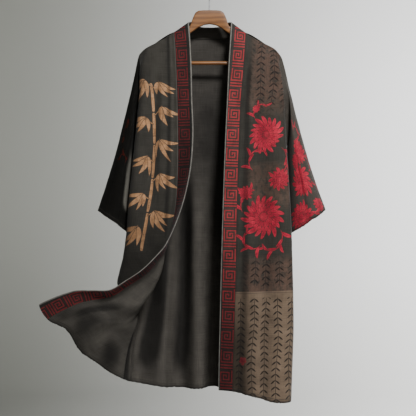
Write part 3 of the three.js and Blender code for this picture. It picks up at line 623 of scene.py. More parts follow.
class Graph:
    """Adds nodes to one node tree, with links and constants given alike."""

    def __init__(self, tree: bpy.types.NodeTree) -> None:
        """Keep the tree that the nodes go into."""
        self.tree = tree

    def put(self, socket: bpy.types.NodeSocket, value: Value) -> None:
        """Link a socket into an input, or set the input to a constant."""
        if isinstance(value, bpy.types.NodeSocket):
            self.tree.links.new(value, socket)
        elif socket.type == "RGBA" and len(value) == 3:
            socket.default_value = (*value, 1.0)
        else:
            socket.default_value = value

    def add(self, kind: str, inputs: dict, **settings: Value) -> bpy.types.Node:
        """Add a node.

        Args:
            kind: The node's type without its ShaderNode prefix.
            inputs: Values for its inputs, by name or number.
            **settings: The node's own options.

        Returns:
            The new node.
        """
        node = self.tree.nodes.new("ShaderNode" + kind)
        for name, value in settings.items():
            setattr(node, name, value)
        for name, value in inputs.items():
            self.put(node.inputs[name], value)
        return node

    def math(self, operation: str, *values: Value, clamp: bool = False) -> Value:
        """Add a Math node and give its output."""
        inputs = dict(enumerate(values))
        return self.add("Math", inputs, operation=operation, use_clamp=clamp).outputs[0]

    def vector(self, operation: str, *values: Value) -> Value:
        """Add a Vector Math node and give its vector output."""
        return self.add("VectorMath", dict(enumerate(values)), operation=operation).outputs[0]

    def mix(self, factor: Value, first: Value, second: Value) -> Value:
        """Mix two colours."""
        node = self.add("Mix", {0: factor, 6: first, 7: second}, data_type="RGBA")
        return node.outputs[2]

    def ramp(self, value: Value, low: float, high: float, to: tuple = (0.0, 1.0)) -> Value:
        """Rise smoothly from to[0] at `low` to to[1] at `high`."""
        inputs = {0: value, 1: low, 2: high, 3: to[0], 4: to[1]}
        return self.add("MapRange", inputs, interpolation_type="SMOOTHSTEP").outputs[0]

    def attribute(self, name: str) -> Value:
        """The vector of a mesh attribute."""
        return self.add("Attribute", {}, attribute_name=name).outputs["Vector"]

    def split(self, vector: Value) -> tuple:
        """The three parts of a vector."""
        return tuple(self.add("SeparateXYZ", {0: vector}).outputs)

    def join(self, x: Value, y: Value, z: Value = 0.0) -> Value:
        """A vector from its parts."""
        return self.add("CombineXYZ", {0: x, 1: y, 2: z}).outputs[0]

    def scaled(self, vector: Value, x: float, y: float, z: float = 1.0) -> Value:
        """A vector with each of its parts scaled."""
        return self.vector("MULTIPLY", vector, (x, y, z))

    def noise(self, vector: Value, scale: float, detail: float = 2.0, rough: float = 0.5) -> Value:
        """Noise from 0 to 1 over a vector."""
        inputs = {"Vector": vector, "Scale": scale, "Detail": detail, "Roughness": rough}
        return self.add("TexNoise", inputs).outputs["Fac"]

    def group(self, tree: bpy.types.NodeTree, **inputs: Value) -> bpy.types.Node:
        """Place a shader node group with its own values."""
        node = self.tree.nodes.new("ShaderNodeGroup")
        node.node_tree = tree
        for name, value in inputs.items():
            self.put(node.inputs[name.replace("_", " ")], value)
        return node


def new_group(name: str, inputs: dict, outputs: tuple) -> tuple:
    """Start a shader node group.

    Args:
        name: The group's name.
        inputs: Each input's name, with "Vector" or a starting number.
        outputs: The names of its number outputs.

    Returns:
        The group's tree, its graph, its inputs by name, and the node that takes its outputs.
    """
    tree = bpy.data.node_groups.new(name, "ShaderNodeTree")
    for socket, start in inputs.items():
        kind = "NodeSocketVector" if start == "Vector" else "NodeSocketFloat"
        made = tree.interface.new_socket(socket, in_out="INPUT", socket_type=kind)
        if start != "Vector":
            made.default_value = start
    for socket in outputs:
        tree.interface.new_socket(socket, in_out="OUTPUT", socket_type="NodeSocketFloat")
    entry = tree.nodes.new("NodeGroupInput")
    leave = tree.nodes.new("NodeGroupOutput")
    return tree, Graph(tree), entry.outputs, leave


SCROLL_SHRINK = 0.35
SPRIG_LEAN = 0.87
SPRIG_SWAY = 0.0025
SPRIG_BENDS = 26.0


def weave_group() -> bpy.types.NodeTree:
    """Slubbed plain weave: the tone and height of uneven threads both ways."""
    tree, g, given, leave = new_group(
        "Slubbed weave", {"Cloth": "Vector", "Pitch": 0.0011}, ("Tone", "Height"))
    cloth = given["Cloth"]
    warp = g.noise(g.scaled(cloth, 620, 16), 1.0, 3.0, 0.6)
    weft = g.noise(g.scaled(cloth, 14, 560), 1.0, 3.0, 0.6)
    cloud = g.noise(cloth, 24.0, 3.0, 0.55)
    threads = g.math("ADD", warp, weft)
    tone = g.math("ADD", threads, g.math("MULTIPLY", cloud, 0.9))
    turns = g.math("DIVIDE", 2 * math.pi, given["Pitch"])
    x, y, _ = g.split(cloth)
    over = g.math("SINE", g.math("MULTIPLY", x, turns))
    under = g.math("SINE", g.math("MULTIPLY", y, turns))
    knit = g.math("MULTIPLY", over, under)
    height = g.math("ADD", g.math("MULTIPLY", threads, 0.7), g.math("MULTIPLY", knit, 0.25))
    g.put(leave.inputs["Tone"], g.math("SUBTRACT", tone, 1.45))
    g.put(leave.inputs["Height"], height)
    return tree


def wear_group() -> bpy.types.NodeTree:
    """How much of a print is left: full in most places, broken where the cloth has rubbed."""
    tree, g, given, leave = new_group("Print wear", {"Cloth": "Vector", "Amount": 0.5}, ("Left",))
    grain = g.noise(g.scaled(given["Cloth"], 300, 190), 1.0, 4.0, 0.7)
    patch = g.noise(given["Cloth"], 38.0, 3.0, 0.6)
    rubbed = g.math("ADD", g.math("MULTIPLY", grain, 0.6), g.math("MULTIPLY", patch, 0.4))
    lost = g.math("MULTIPLY", g.ramp(rubbed, 0.48, 0.66), given["Amount"])
    g.put(leave.inputs["Left"], g.math("SUBTRACT", 1.0, lost))
    return tree


def meander_group() -> bpy.types.NodeTree:
    """A band of square spirals between ladder bars, in metres along the band."""
    tree, g, given, leave = new_group(
        "Square meander",
        {"Cloth": "Vector", "Centre": 0.0205, "Pitch": 0.0615, "Ring": 0.0087}, ("Print",))
    x, y, _ = g.split(given["Cloth"])
    unit = g.math("DIVIDE", y, given["Pitch"])
    index = g.math("FLOOR", unit)
    flip = g.math("MULTIPLY_ADD", g.math("MODULO", index, 2.0), -2.0, 1.0)
    local_x = g.math("MULTIPLY", g.math("SUBTRACT", x, given["Centre"]), flip)
    local_y = g.math("MULTIPLY", g.math("SUBTRACT", g.math("FRACT", unit), 0.5), given["Pitch"])
    low = g.math("LESS_THAN", local_y, 0.0)
    shift = g.math("MULTIPLY", g.math("MULTIPLY", low, 0.5), given["Ring"])
    far = g.math("MAXIMUM", g.math("ABSOLUTE", g.math("ADD", local_x, shift)),
                 g.math("ABSOLUTE", local_y))
    phase = g.math("SUBTRACT", g.math("DIVIDE", far, given["Ring"]), g.math("MULTIPLY", low, 0.5))
    ring = g.math("PINGPONG", phase, 0.5)
    spiral = g.ramp(ring, 0.2, 0.28, (1.0, 0.0))
    reach = g.math("DIVIDE", g.math("ABSOLUTE", local_y), given["Ring"])
    bars = g.ramp(g.math("PINGPONG", g.math("SUBTRACT", reach, 0.05), 0.5), 0.2, 0.28, (1.0, 0.0))
    outside = g.math("GREATER_THAN", reach, 2.27)
    drawn = g.add("Mix", {0: outside, 2: spiral, 3: bars}, data_type="FLOAT").outputs[0]
    side = g.math("DIVIDE", g.math("ABSOLUTE", local_x), given["Ring"])
    g.put(leave.inputs["Print"], g.math("MULTIPLY", drawn, g.math("LESS_THAN", side, 2.26)))
    return tree


def stroke_group() -> bpy.types.NodeTree:
    """One brush stroke or leaf: its shape, a gap round it and its middle vein."""
    tree, g, given, leave = new_group(
        "Brush stroke",
        {"Cloth": "Vector", "X": 0.0, "Y": 0.0, "Angle": 0.0, "Length": 0.06, "Width": 0.01,
         "Point": 0.7, "Curl": 0.0, "Base": 1.0}, ("Mask", "Gap", "Vein"))
    from_place = g.vector("SUBTRACT", given["Cloth"], g.join(given["X"], given["Y"]))
    back = g.math("MULTIPLY", given["Angle"], -1.0)
    turned = g.add("VectorRotate", {"Vector": from_place, "Angle": back}, rotation_type="Z_AXIS")
    along, aside, _ = g.split(turned.outputs[0])
    share = g.math("DIVIDE", along, given["Length"], clamp=True)
    t = g.math("POWER", share, given["Base"])
    hump = g.math("MULTIPLY", g.math("MULTIPLY", t, g.math("SUBTRACT", 1.0, t)), 4.0)
    half = g.math("MULTIPLY", g.math("POWER", hump, given["Point"]),
                  g.math("MULTIPLY", given["Width"], 0.5))
    bow = g.math("MULTIPLY", g.math("MULTIPLY", share, g.math("SUBTRACT", 1.0, share)), 4.0)
    bend = g.math("MULTIPLY", g.math("MULTIPLY", bow, given["Length"]), given["Curl"])
    off = g.math("ABSOLUTE", g.math("SUBTRACT", aside, bend))
    room = g.math("SUBTRACT", half, off)
    here = g.math("GREATER_THAN", hump, 0.0)
    g.put(leave.inputs["Mask"], g.ramp(room, 0.0, 0.0007))
    g.put(leave.inputs["Gap"], g.math("MULTIPLY", g.ramp(room, -0.0014, -0.0006), here))
    g.put(leave.inputs["Vein"], g.math("MULTIPLY", g.ramp(off, 0.0004, 0.0009, (1.0, 0.0)), here))
    return tree


def blossom_group() -> bpy.types.NodeTree:
    """A chrysanthemum of four rings of uneven pointed petals, with dark lines between them."""
    tree, g, given, leave = new_group(
        "Chrysanthemum",
        {"Cloth": "Vector", "X": 0.0, "Y": 0.0, "Radius": 0.05, "Petals": 15.0, "Turn": 0.0,
         "Swirl": 0.5}, ("Mask", "Line"))
    from_centre = g.vector("SUBTRACT", given["Cloth"], g.join(given["X"], given["Y"]))
    x, y, _ = g.split(from_centre)
    far = g.math("SQRT", g.math("ADD", g.math("MULTIPLY", x, x), g.math("MULTIPLY", y, y)))
    r = g.math("DIVIDE", far, given["Radius"])
    twist = g.math("MULTIPLY_ADD", r, given["Swirl"], given["Turn"])
    angle = g.math("DIVIDE", g.math("ADD", g.math("ARCTAN2", y, x), twist), 2 * math.pi)
    place = g.math("MULTIPLY", angle, given["Petals"])
    mask, line, inner = 0.0, 0.0, 0.0
    for ring, reach in enumerate((0.24, 0.5, 0.76, 1.04)):
        shifted = g.math("ADD", place, ring * 0.5)
        aside = g.math("PINGPONG", shifted, 0.5)
        index = g.math("FLOORED_MODULO", g.math("FLOOR", g.math("ADD", shifted, 0.5)),
                       given["Petals"])
        chance = g.add("TexWhiteNoise", {"Vector": g.join(index, given["Turn"], ring + 0.5)},
                       noise_dimensions="3D").outputs["Value"]
        notch = g.math("POWER", g.math("MULTIPLY", aside, 2.0), 1.7)
        length = g.math("MULTIPLY_ADD", chance, 0.2, 0.85)
        short = g.math("MULTIPLY_ADD", notch, -0.36, 1.0)
        tip = g.math("MULTIPLY", g.math("MULTIPLY", length, short), reach)
        room = g.math("SUBTRACT", tip, r)
        inside = g.ramp(room, 0.0, 0.02)
        rim = g.ramp(g.math("ABSOLUTE", room), 0.012, 0.036, (1.0, 0.0))
        within = g.math("MULTIPLY", g.math("GREATER_THAN", r, inner), inside)
        edge = g.math("MULTIPLY", g.ramp(aside, 0.39, 0.46), within)
        vein = g.math("MULTIPLY", g.ramp(aside, 0.03, 0.08, (0.5, 0.0)), within)
        line = g.math("MAXIMUM", g.math("MAXIMUM", line, rim), g.math("MAXIMUM", edge, vein))
        mask = g.math("MAXIMUM", mask, inside)
        inner = tip
    g.put(leave.inputs["Mask"], mask)
    g.put(leave.inputs["Line"], line)
    return tree


def scroll_group() -> bpy.types.NodeTree:
    """An arc that tapers at both ends, for the scrolls between the blossoms."""
    tree, g, given, leave = new_group(
        "Scroll",
        {"Cloth": "Vector", "X": 0.0, "Y": 0.0, "Radius": 0.03, "Start": 0.0, "Sweep": 3.0,
         "Width": 0.006}, ("Mask",))
    from_centre = g.vector("SUBTRACT", given["Cloth"], g.join(given["X"], given["Y"]))
    x, y, _ = g.split(from_centre)
    far = g.math("SQRT", g.math("ADD", g.math("MULTIPLY", x, x), g.math("MULTIPLY", y, y)))
    angle = g.math("SUBTRACT", g.math("ARCTAN2", y, x), given["Start"])
    turn = g.math("FLOORED_MODULO", angle, 2 * math.pi)
    t = g.math("DIVIDE", turn, given["Sweep"])
    hump = g.math("MULTIPLY", g.math("MULTIPLY", t, g.math("SUBTRACT", 1.0, t)), 4.0)
    belly = g.math("POWER", g.math("MAXIMUM", hump, 0.0), 0.45)
    half = g.math("MULTIPLY", g.math("MULTIPLY", belly, given["Width"]), 0.5)
    shrink = g.math("MULTIPLY_ADD", t, -SCROLL_SHRINK, 1.0)
    radius = g.math("MULTIPLY", given["Radius"], shrink)
    off = g.math("ABSOLUTE", g.math("SUBTRACT", far, radius))
    g.put(leave.inputs["Mask"], g.ramp(g.math("SUBTRACT", half, off), 0.0, 0.0008))
    return tree


def sprig_group() -> bpy.types.NodeTree:
    """Hanging willow sprigs: whole swaying stems, with even pairs of drooping pointed leaves."""
    tree, g, given, leave = new_group(
        "Hanging sprigs",
        {"Cloth": "Vector", "Column": 0.04, "Leaf": 0.019, "Length": 0.019, "Half": 0.0026,
         "Seed": 0.0}, ("Mask",))
    x, y, _ = g.split(given["Cloth"])
    places = g.math("DIVIDE", x, given["Column"])
    index = g.math("FLOOR", places)
    centre = g.math("MULTIPLY", g.math("SUBTRACT", g.math("FRACT", places), 0.5), given["Column"])
    phase = g.math("MULTIPLY_ADD", index, 2.1, given["Seed"])
    sway = g.math("SINE", g.math("MULTIPLY_ADD", y, SPRIG_BENDS, phase))
    local = g.math("MULTIPLY_ADD", sway, SPRIG_SWAY, centre)
    out = g.math("ABSOLUTE", local)
    row = g.math("MULTIPLY_ADD", index, 0.45, g.math("DIVIDE", y, given["Leaf"]))
    fall = g.math("MULTIPLY", g.math("FRACT", row), given["Leaf"])
    sine, cosine = math.sin(SPRIG_LEAN), math.cos(SPRIG_LEAN)
    along = g.math("ADD", g.math("MULTIPLY", out, sine), g.math("MULTIPLY", fall, cosine))
    aside = g.math("SUBTRACT", g.math("MULTIPLY", out, cosine), g.math("MULTIPLY", fall, sine))
    t = g.math("DIVIDE", along, given["Length"], clamp=True)
    hump = g.math("MULTIPLY", g.math("MULTIPLY", t, g.math("SUBTRACT", 1.0, t)), 4.0)
    half = g.math("MULTIPLY", g.math("POWER", hump, 0.8), given["Half"])
    leaf = g.ramp(g.math("SUBTRACT", half, g.math("ABSOLUTE", aside)), 0.0, 0.0005)
    stem = g.ramp(out, 0.0005, 0.0011, (1.0, 0.0))
    g.put(leave.inputs["Mask"], g.math("MAXIMUM", leaf, stem))
    return tree


@dataclass(frozen=True)
class Dye:
    """The colours of the cloth and its prints, and of painted shade and highlight, as linear
    values.
    """

    outside: RGB = (0.028, 0.0257, 0.0212)
    sleeve_right: RGB = (0.04, 0.0345, 0.029)
    sleeve_left: RGB = (0.075, 0.071, 0.061)
    inside: RGB = (0.047, 0.0423, 0.0365)
    inside_front: RGB = (0.052, 0.0472, 0.0405)
    # Stitch thread, also the colour of the painted highlight along the left front's band seam
    thread: RGB = (0.075, 0.07, 0.06)
    tan: RGB = (0.28, 0.145, 0.068)
    tan_light: RGB = (0.37, 0.2, 0.1)
    crimson: RGB = (0.27, 0.0095, 0.026)
    scarlet: RGB = (0.43, 0.017, 0.04)
    brown: RGB = (0.072, 0.044, 0.032)
    ground: RGB = (0.024, 0.020, 0.017)
    paper: RGB = (0.135, 0.096, 0.066)
    ink: RGB = (0.010, 0.009, 0.008)
    # Painted shade in the hem's stitch groove, and the darker colour along the hem
    groove_shade_and_hem_dark: RGB = (0.010, 0.009, 0.008)
    # Painted shade on the pale lower panel of the right front
    painted_paper_shade: RGB = (0.018, 0.014, 0.010)
    rim: RGB = (0.008, 0.0075, 0.007)
    # Dark seam stitching, also the colour of the painted shade beside the back's side seam
    seam: RGB = (0.006, 0.0055, 0.005)
    band: RGB = (0.026, 0.024, 0.021)
    meander: RGB = (0.23, 0.022, 0.025)
    # The left sleeve's print red, before its painted shade darkens it
    red_under_painted_shade: RGB = (0.85, 0.09, 0.07)
    piping: RGB = (0.12, 0.112, 0.096)


DYE = Dye()


@dataclass(frozen=True)
class Groups:
    """The node groups that the materials share, each built once."""

    weave: bpy.types.NodeTree = field(default_factory=weave_group)
    wear: bpy.types.NodeTree = field(default_factory=wear_group)
    meander: bpy.types.NodeTree = field(default_factory=meander_group)
    stroke: bpy.types.NodeTree = field(default_factory=stroke_group)
    blossom: bpy.types.NodeTree = field(default_factory=blossom_group)
    scroll: bpy.types.NodeTree = field(default_factory=scroll_group)
    sprig: bpy.types.NodeTree = field(default_factory=sprig_group)


@dataclass(frozen=True)
class ClothLook:
    """A finish for one panel of cloth: its ground colour, its weave and what is printed on it.

    Painted shade darkens the colour where the panel's painted shading is low, leaving only
    `painted_shade_floor` of it at the lowest; where it is high the full colour shows, as painted
    highlight.
    """

    name: str
    groups: Groups
    ground: RGB = DYE.outside
    sheen: float = 0.07
    pitch: float = 0.0011
    painted_shade_floor: float = 1.0
    specular: float = 0.14

    def prints(self, g: Graph, cloth: Value, colour: Value) -> Value:
        """Lay the panel's prints over its ground colour; a plain cloth has none."""
        return colour

    def make(self) -> bpy.types.Material:
        """Build the material.

        Returns:
            The new material.
        """
        look = bpy.data.materials.new(self.name)
        look.use_nodes = True
        g = Graph(look.node_tree)
        shader = look.node_tree.nodes["Principled BSDF"]
        cloth, edges = g.attribute("cloth"), g.attribute("edges")
        weave = g.group(self.groups.weave, Cloth=cloth, Pitch=self.pitch)
        colour = self.prints(g, cloth, self.ground)
        tone = g.math("MULTIPLY_ADD", weave.outputs["Tone"], 0.9, 1.0)
        worn = self.edge_wear(g, cloth, edges)
        tone = g.math("ADD", tone, g.math("MULTIPLY", worn, 0.5))
        # Painted shade and highlight, from the painted shading in the cloth attribute's third value
        tone = g.math("MULTIPLY", tone, g.ramp(g.split(cloth)[2], -0.02, 0.012, (self.painted_shade_floor, 1.0)))
        colour = g.vector("MULTIPLY", colour, g.join(tone, tone, tone))
        colour, stitch = self.stitches(g, edges, cloth, colour)
        g.put(shader.inputs["Base Color"], colour)
        rough = g.math("MULTIPLY_ADD", weave.outputs["Tone"], -0.12, 0.86)
        g.put(shader.inputs["Roughness"], rough)
        shader.inputs["Specular IOR Level"].default_value = self.specular
        shader.inputs["Sheen Weight"].default_value = self.sheen
        shader.inputs["Sheen Roughness"].default_value = 0.45
        height = g.math("ADD", weave.outputs["Height"], g.math("MULTIPLY", stitch, -1.4))
        bump = g.add("Bump", {"Height": height, "Strength": 0.55, "Distance": 0.0006})
        g.put(shader.inputs["Normal"], bump.outputs[0])
        return look

    def edge_wear(self, g: Graph, cloth: Value, edges: Value) -> Value:
        """Frayed paler threads along the hem alone."""
        frayed = g.ramp(g.split(edges)[1], 0.0004, 0.0022, (1.0, 0.0))
        return g.math("MULTIPLY", frayed, g.ramp(g.noise(cloth, 240.0, 2.0), 0.45, 0.62))

    def stitches(self, g: Graph, edges: Value, cloth: Value, colour: Value) -> tuple:
        """A turned hem, its row of stitches and their groove, with painted shade in the groove and
        the colour darker near the hem.
        """
        across, down, _ = g.split(cloth)
        hem = g.split(edges)[1]
        row = g.math("ABSOLUTE", g.math("SUBTRACT", hem, 0.011))
        groove = g.ramp(row, 0.0006, 0.0028, (1.0, 0.0))
        dash = g.math("GREATER_THAN", g.math("FRACT", g.math("MULTIPLY", across, 230.0)), 0.4)
        thread = g.math("MULTIPLY", g.ramp(row, 0.0003, 0.0008, (1.0, 0.0)), dash)
        # Painted shade in the stitch groove; the colour is also darker within 12 mm of the hem
        darker_to_hem = g.ramp(hem, 0.002, 0.012, (0.75, 0.0))
        darker = g.mix(g.math("MAXIMUM", g.math("MULTIPLY", groove, 0.4), darker_to_hem), colour,
                       DYE.groove_shade_and_hem_dark)
        rim = g.ramp(g.split(edges)[0], 0.0004, 0.0014, (0.9, 0.0))
        darker = g.mix(rim, darker, DYE.rim)
        return g.mix(g.math("MULTIPLY", thread, 0.35), darker, DYE.thread), groove


@dataclass(frozen=True)
class InsideLook(ClothLook):
    """The cloth's inner face: plain, with the side seam's dark stitching and, where `turned` is
    set, painted shade beside that seam low on the panel.
    """

    seam_from: float = 0.955
    seam_to: float = 1.145
    cloudy: bool = False
    # How strongly a strip beside the first side seam is darkened as painted shade, low on the panel
    turned: float = 0.0

    def prints(self, g: Graph, cloth: Value, colour: Value) -> Value:
        """Let soft dark clouds into the colour, where the cloth asks for them."""
        if not self.cloudy:
            return colour
        cloud = g.ramp(g.noise(g.scaled(cloth, 9, 11), 1.0, 1.5), 0.38, 0.56, (0.7, 1.0))
        return g.vector("MULTIPLY", colour, g.join(cloud, cloud, cloud))

    def stitches(self, g: Graph, edges: Value, cloth: Value, colour: Value) -> tuple:
        """Lay dark stitches down the side seam, boldest where the seam has been mended, and paint
        shade in a strip beside it low on the panel.
        """
        colour, groove = super().stitches(g, edges, cloth, colour)
        down = g.split(cloth)[1]
        side = g.split(edges)[0]
        window = g.math("MULTIPLY", g.ramp(down, self.seam_from - 0.01, self.seam_from),
                        g.ramp(down, self.seam_to - 0.03, self.seam_to, (1.0, 0.0)))
        mended = g.math("MULTIPLY_ADD", window, 0.75, 0.2)
        line = g.math("MULTIPLY", g.ramp(side, 0.003, 0.0055, (1.0, 0.0)), mended)
        tuft = g.math("GREATER_THAN", g.math("FRACT", g.math("MULTIPLY", down, 150.0)), 0.62)
        reach = g.math("MULTIPLY", g.ramp(side, 0.006, 0.008, (1.0, 0.0)), tuft)
        # Painted shade: a strip beside the side seam, low on the panel, darkened towards the seam
        # colour
        near = g.math("MULTIPLY", g.ramp(side, 0.014, 0.034, (0.8, 0.0)), g.ramp(down, 0.8, 0.9))
        dark = g.math("MAXIMUM", line, g.math("MULTIPLY", reach, g.math("MULTIPLY", window, 0.7)))
        dark = g.math("MAXIMUM", dark, g.math("MULTIPLY", near, self.turned))
        return g.mix(dark, colour, DYE.seam), g.math("MAXIMUM", groove, line)


@dataclass(frozen=True)
class BambooLook(ClothLook):
    """Left front: tan brush-painted bamboo down the middle of the panel."""

    strokes: tuple = ()

    def prints(self, g: Graph, cloth: Value, colour: Value) -> Value:
        """Paint the bamboo over the cloth, each stroke set off from those under it, and a painted
        highlight along the band seam.
        """
        mask = 0.0
        for x, y, angle, length, width, point, curl, base in self.strokes:
            node = g.group(self.groups.stroke, Cloth=cloth, X=x, Y=y, Angle=angle, Length=length,
                           Width=width, Point=point, Curl=curl, Base=base)
            under = g.math("MULTIPLY", mask, g.math("SUBTRACT", 1.0, node.outputs["Gap"]))
            mask = g.math("MAXIMUM", under, node.outputs["Mask"])
        wear = g.group(self.groups.wear, Cloth=cloth, Amount=0.75)
        mask = g.math("MULTIPLY", mask, wear.outputs["Left"])
        shade = g.ramp(g.noise(cloth, 60.0, 3.0), 0.35, 0.65)
        # Painted highlight: a pale line in thread colour just beside the band seam
        seam = g.ramp(g.math("ABSOLUTE", g.math("SUBTRACT", g.split(cloth)[0], 0.0022)),
                      0.0007, 0.0016, (0.75, 0.0))
        colour = g.mix(seam, colour, DYE.thread)
        return g.mix(mask, colour, g.mix(shade, DYE.tan, DYE.tan_light))


@dataclass(frozen=True)
class BlossomLook(ClothLook):
    """Right front or sleeve: crimson chrysanthemums with leaves and scrolls, and brown sprigs."""

    blossoms: tuple = ()
    leaves: tuple = ()
    scrolls: tuple = ()
    mottled: bool = True
    sprigs: bool = False
    paper_from: float = 0.0
    deep: RGB = DYE.crimson
    bright: RGB = DYE.scarlet

    def prints(self, g: Graph, cloth: Value, colour: Value) -> Value:
        """Print the brown ground, the flowers and the pale lower panel."""
        if self.mottled:
            colour = self.brown(g, cloth, colour)
        colour = self.flowers(g, cloth, colour)
        if self.paper_from:
            colour = self.paper(g, cloth, colour)
        return colour

    def brown(self, g: Graph, cloth: Value, colour: Value) -> Value:
        """Brown clouds with dark sprigs, strongest at the top and below the flowers."""
        x, y, _ = g.split(cloth)
        top = g.ramp(y, 0.2, 0.3, (1.0, 0.0))
        middle = g.math("MULTIPLY", g.ramp(y, 0.4, 0.44), g.ramp(y, 0.52, 0.58, (0.75, 0.0)))
        low = g.ramp(y, 0.69, 0.73)
        zone = g.math("MAXIMUM", top, g.math("MAXIMUM", middle, low))
        off_band = g.ramp(x, 0.012, 0.05)
        cloud = g.ramp(g.noise(g.scaled(cloth, 70, 52), 1.0, 6.0, 0.78), 0.36, 0.56)
        amount = g.math("MULTIPLY", g.math("MULTIPLY", zone, off_band), cloud)
        colour = g.mix(amount, colour, DYE.brown)
        if not self.sprigs:
            return colour
        sprig = g.group(self.groups.sprig, Cloth=cloth, Seed=3.0)
        shown = g.math("MULTIPLY", g.math("MAXIMUM", top, low), off_band)
        ink = g.math("MULTIPLY", sprig.outputs["Mask"], shown)
        return g.mix(g.math("MULTIPLY", ink, 0.9), colour, DYE.ink)

    def flowers(self, g: Graph, cloth: Value, colour: Value) -> Value:
        """Crimson vines and leaves, with the flowers over them."""
        mask, line = 0.0, 0.0
        for x, y, radius, start, sweep, width in self.scrolls:
            node = g.group(self.groups.scroll, Cloth=cloth, X=x, Y=y, Radius=radius,
                           Start=start, Sweep=sweep, Width=width)
            mask = g.math("MAXIMUM", mask, node.outputs["Mask"])
        for x, y, angle, length, width, curl in self.leaves:
            node = g.group(self.groups.stroke, Cloth=cloth, X=x, Y=y, Angle=angle, Length=length,
                           Width=width, Curl=curl, Base=0.8)
            mask = g.math("MULTIPLY", mask, g.math("SUBTRACT", 1.0, node.outputs["Gap"]))
            line = g.math("MULTIPLY", line, g.math("SUBTRACT", 1.0, node.outputs["Mask"]))
            line = g.math("MAXIMUM", line, g.math("MULTIPLY", node.outputs["Vein"], 0.8))
            mask = g.math("MAXIMUM", mask, node.outputs["Mask"])
        for x, y, radius, petals, turn, swirl in self.blossoms:
            node = g.group(self.groups.blossom, Cloth=cloth, X=x, Y=y, Radius=radius,
                           Petals=petals, Turn=turn, Swirl=swirl)
            line = g.math("MULTIPLY", line, g.math("SUBTRACT", 1.0, node.outputs["Mask"]))
            line = g.math("MAXIMUM", line, node.outputs["Line"])
            mask = g.math("MAXIMUM", mask, node.outputs["Mask"])
        wear = g.group(self.groups.wear, Cloth=cloth, Amount=0.6)
        left = wear.outputs["Left"]
        body = g.math("MULTIPLY", mask, g.math("MULTIPLY_ADD", line, -0.8, 1.0))
        shade = g.ramp(g.noise(cloth, 45.0, 3.0), 0.35, 0.65)
        red = g.mix(shade, self.deep, self.bright)
        colour = g.mix(mask, colour, DYE.ground)
        return g.mix(g.math("MULTIPLY", body, left), colour, red)

    def paper(self, g: Graph, cloth: Value, colour: Value) -> Value:
        """The pale lower panel with ink sprigs and one small red blossom, and painted shade on its
        side by the band, deeper lower down.
        """
        x, y, _ = g.split(cloth)
        top = self.paper_from
        sprig = g.group(self.groups.sprig, Cloth=cloth, Seed=11.0)
        inner = g.math("MULTIPLY", g.ramp(y, top + 0.018, top + 0.024), g.ramp(x, 0.008, 0.012))
        ink = g.math("MULTIPLY", sprig.outputs["Mask"], inner)
        stain = g.ramp(g.noise(cloth, 18.0, 4.0, 0.6), 0.3, 0.7)
        sheet = g.mix(stain, DYE.paper, tuple(part * 0.8 for part in DYE.paper))
        # Painted shade: the sheet darkens towards the band, more so lower down
        low = g.ramp(y, top + 0.02, top + 0.16)
        painted_paper_shade = g.math("MULTIPLY", g.ramp(x, 0.012, 0.085, (0.86, 0.0)),
                       g.math("MULTIPLY_ADD", low, 0.75, 0.25))
        sheet = g.mix(painted_paper_shade, sheet, DYE.painted_paper_shade)
        rule = g.ramp(g.math("ABSOLUTE", g.math("SUBTRACT", y, top + 0.006)), 0.0006, 0.0014,
                      (0.35, 0.0))
        sheet = g.mix(g.math("MAXIMUM", g.math("MULTIPLY", ink, 0.93), rule), sheet, DYE.ink)
        small = g.group(self.groups.blossom, Cloth=cloth, X=0.032, Y=1.015, Radius=0.0135,
                        Petals=5.0, Turn=0.3, Swirl=0.0)
        petals = g.math("MULTIPLY_ADD", small.outputs["Line"], -0.6, small.outputs["Mask"])
        sheet = g.mix(g.math("MULTIPLY", petals, 0.6, clamp=True), sheet, DYE.crimson)
        return g.mix(g.ramp(y, top, top + 0.002), colour, sheet)


@dataclass(frozen=True)
class BandLook(ClothLook):
    """Collar band: a printed red meander on dark cotton, darkened by painted shade to `top` at its
    top, `low` below `fade` and `last` near the hem.
    """

    # Painted shade: the share of the band's colour left at its top, below `fade` and near the hem
    top: float = 1.0
    low: float = 0.6
    last: float = 0.6
    fade: tuple = (0.15, 0.45)

    def prints(self, g: Graph, cloth: Value, colour: Value) -> Value:
        """Print the meander, and darken the band with painted shade."""
        node = g.group(self.groups.meander, Cloth=cloth)
        wear = g.group(self.groups.wear, Cloth=cloth, Amount=0.7)
        print_left = g.math("MULTIPLY", node.outputs["Print"], wear.outputs["Left"])
        down = g.split(cloth)[1]
        # Painted shade, darkening ground and print alike
        painted_band_shade = g.math("MULTIPLY", g.ramp(down, *self.fade, (self.top, self.low)),
                      g.ramp(down, 0.78, 0.9, (1.0, self.last / self.low)))
        printed = g.mix(print_left, colour, DYE.meander)
        return g.vector("MULTIPLY", printed, g.join(painted_band_shade, painted_band_shade, painted_band_shade))

    def stitches(self, g: Graph, edges: Value, cloth: Value, colour: Value) -> tuple:
        """Two rows of edge stitching along the band."""
        first, _, last = g.split(edges)
        side = g.math("MINIMUM", first, last)
        row = g.math("ABSOLUTE", g.math("SUBTRACT", side, 0.0018))
        return colour, g.ramp(row, 0.0002, 0.0012, (1.0, 0.0))


@dataclass(frozen=True)
class Hardware:
    """The colours of the hanger's wood and wire, as linear values."""

    wood_pale: RGB = (0.18, 0.074, 0.02)
    wood_dark: RGB = (0.112, 0.043, 0.01)
    steel_dark: RGB = (0.42, 0.42, 0.43)
    steel_pale: RGB = (0.62, 0.62, 0.63)


HARDWARE = Hardware()


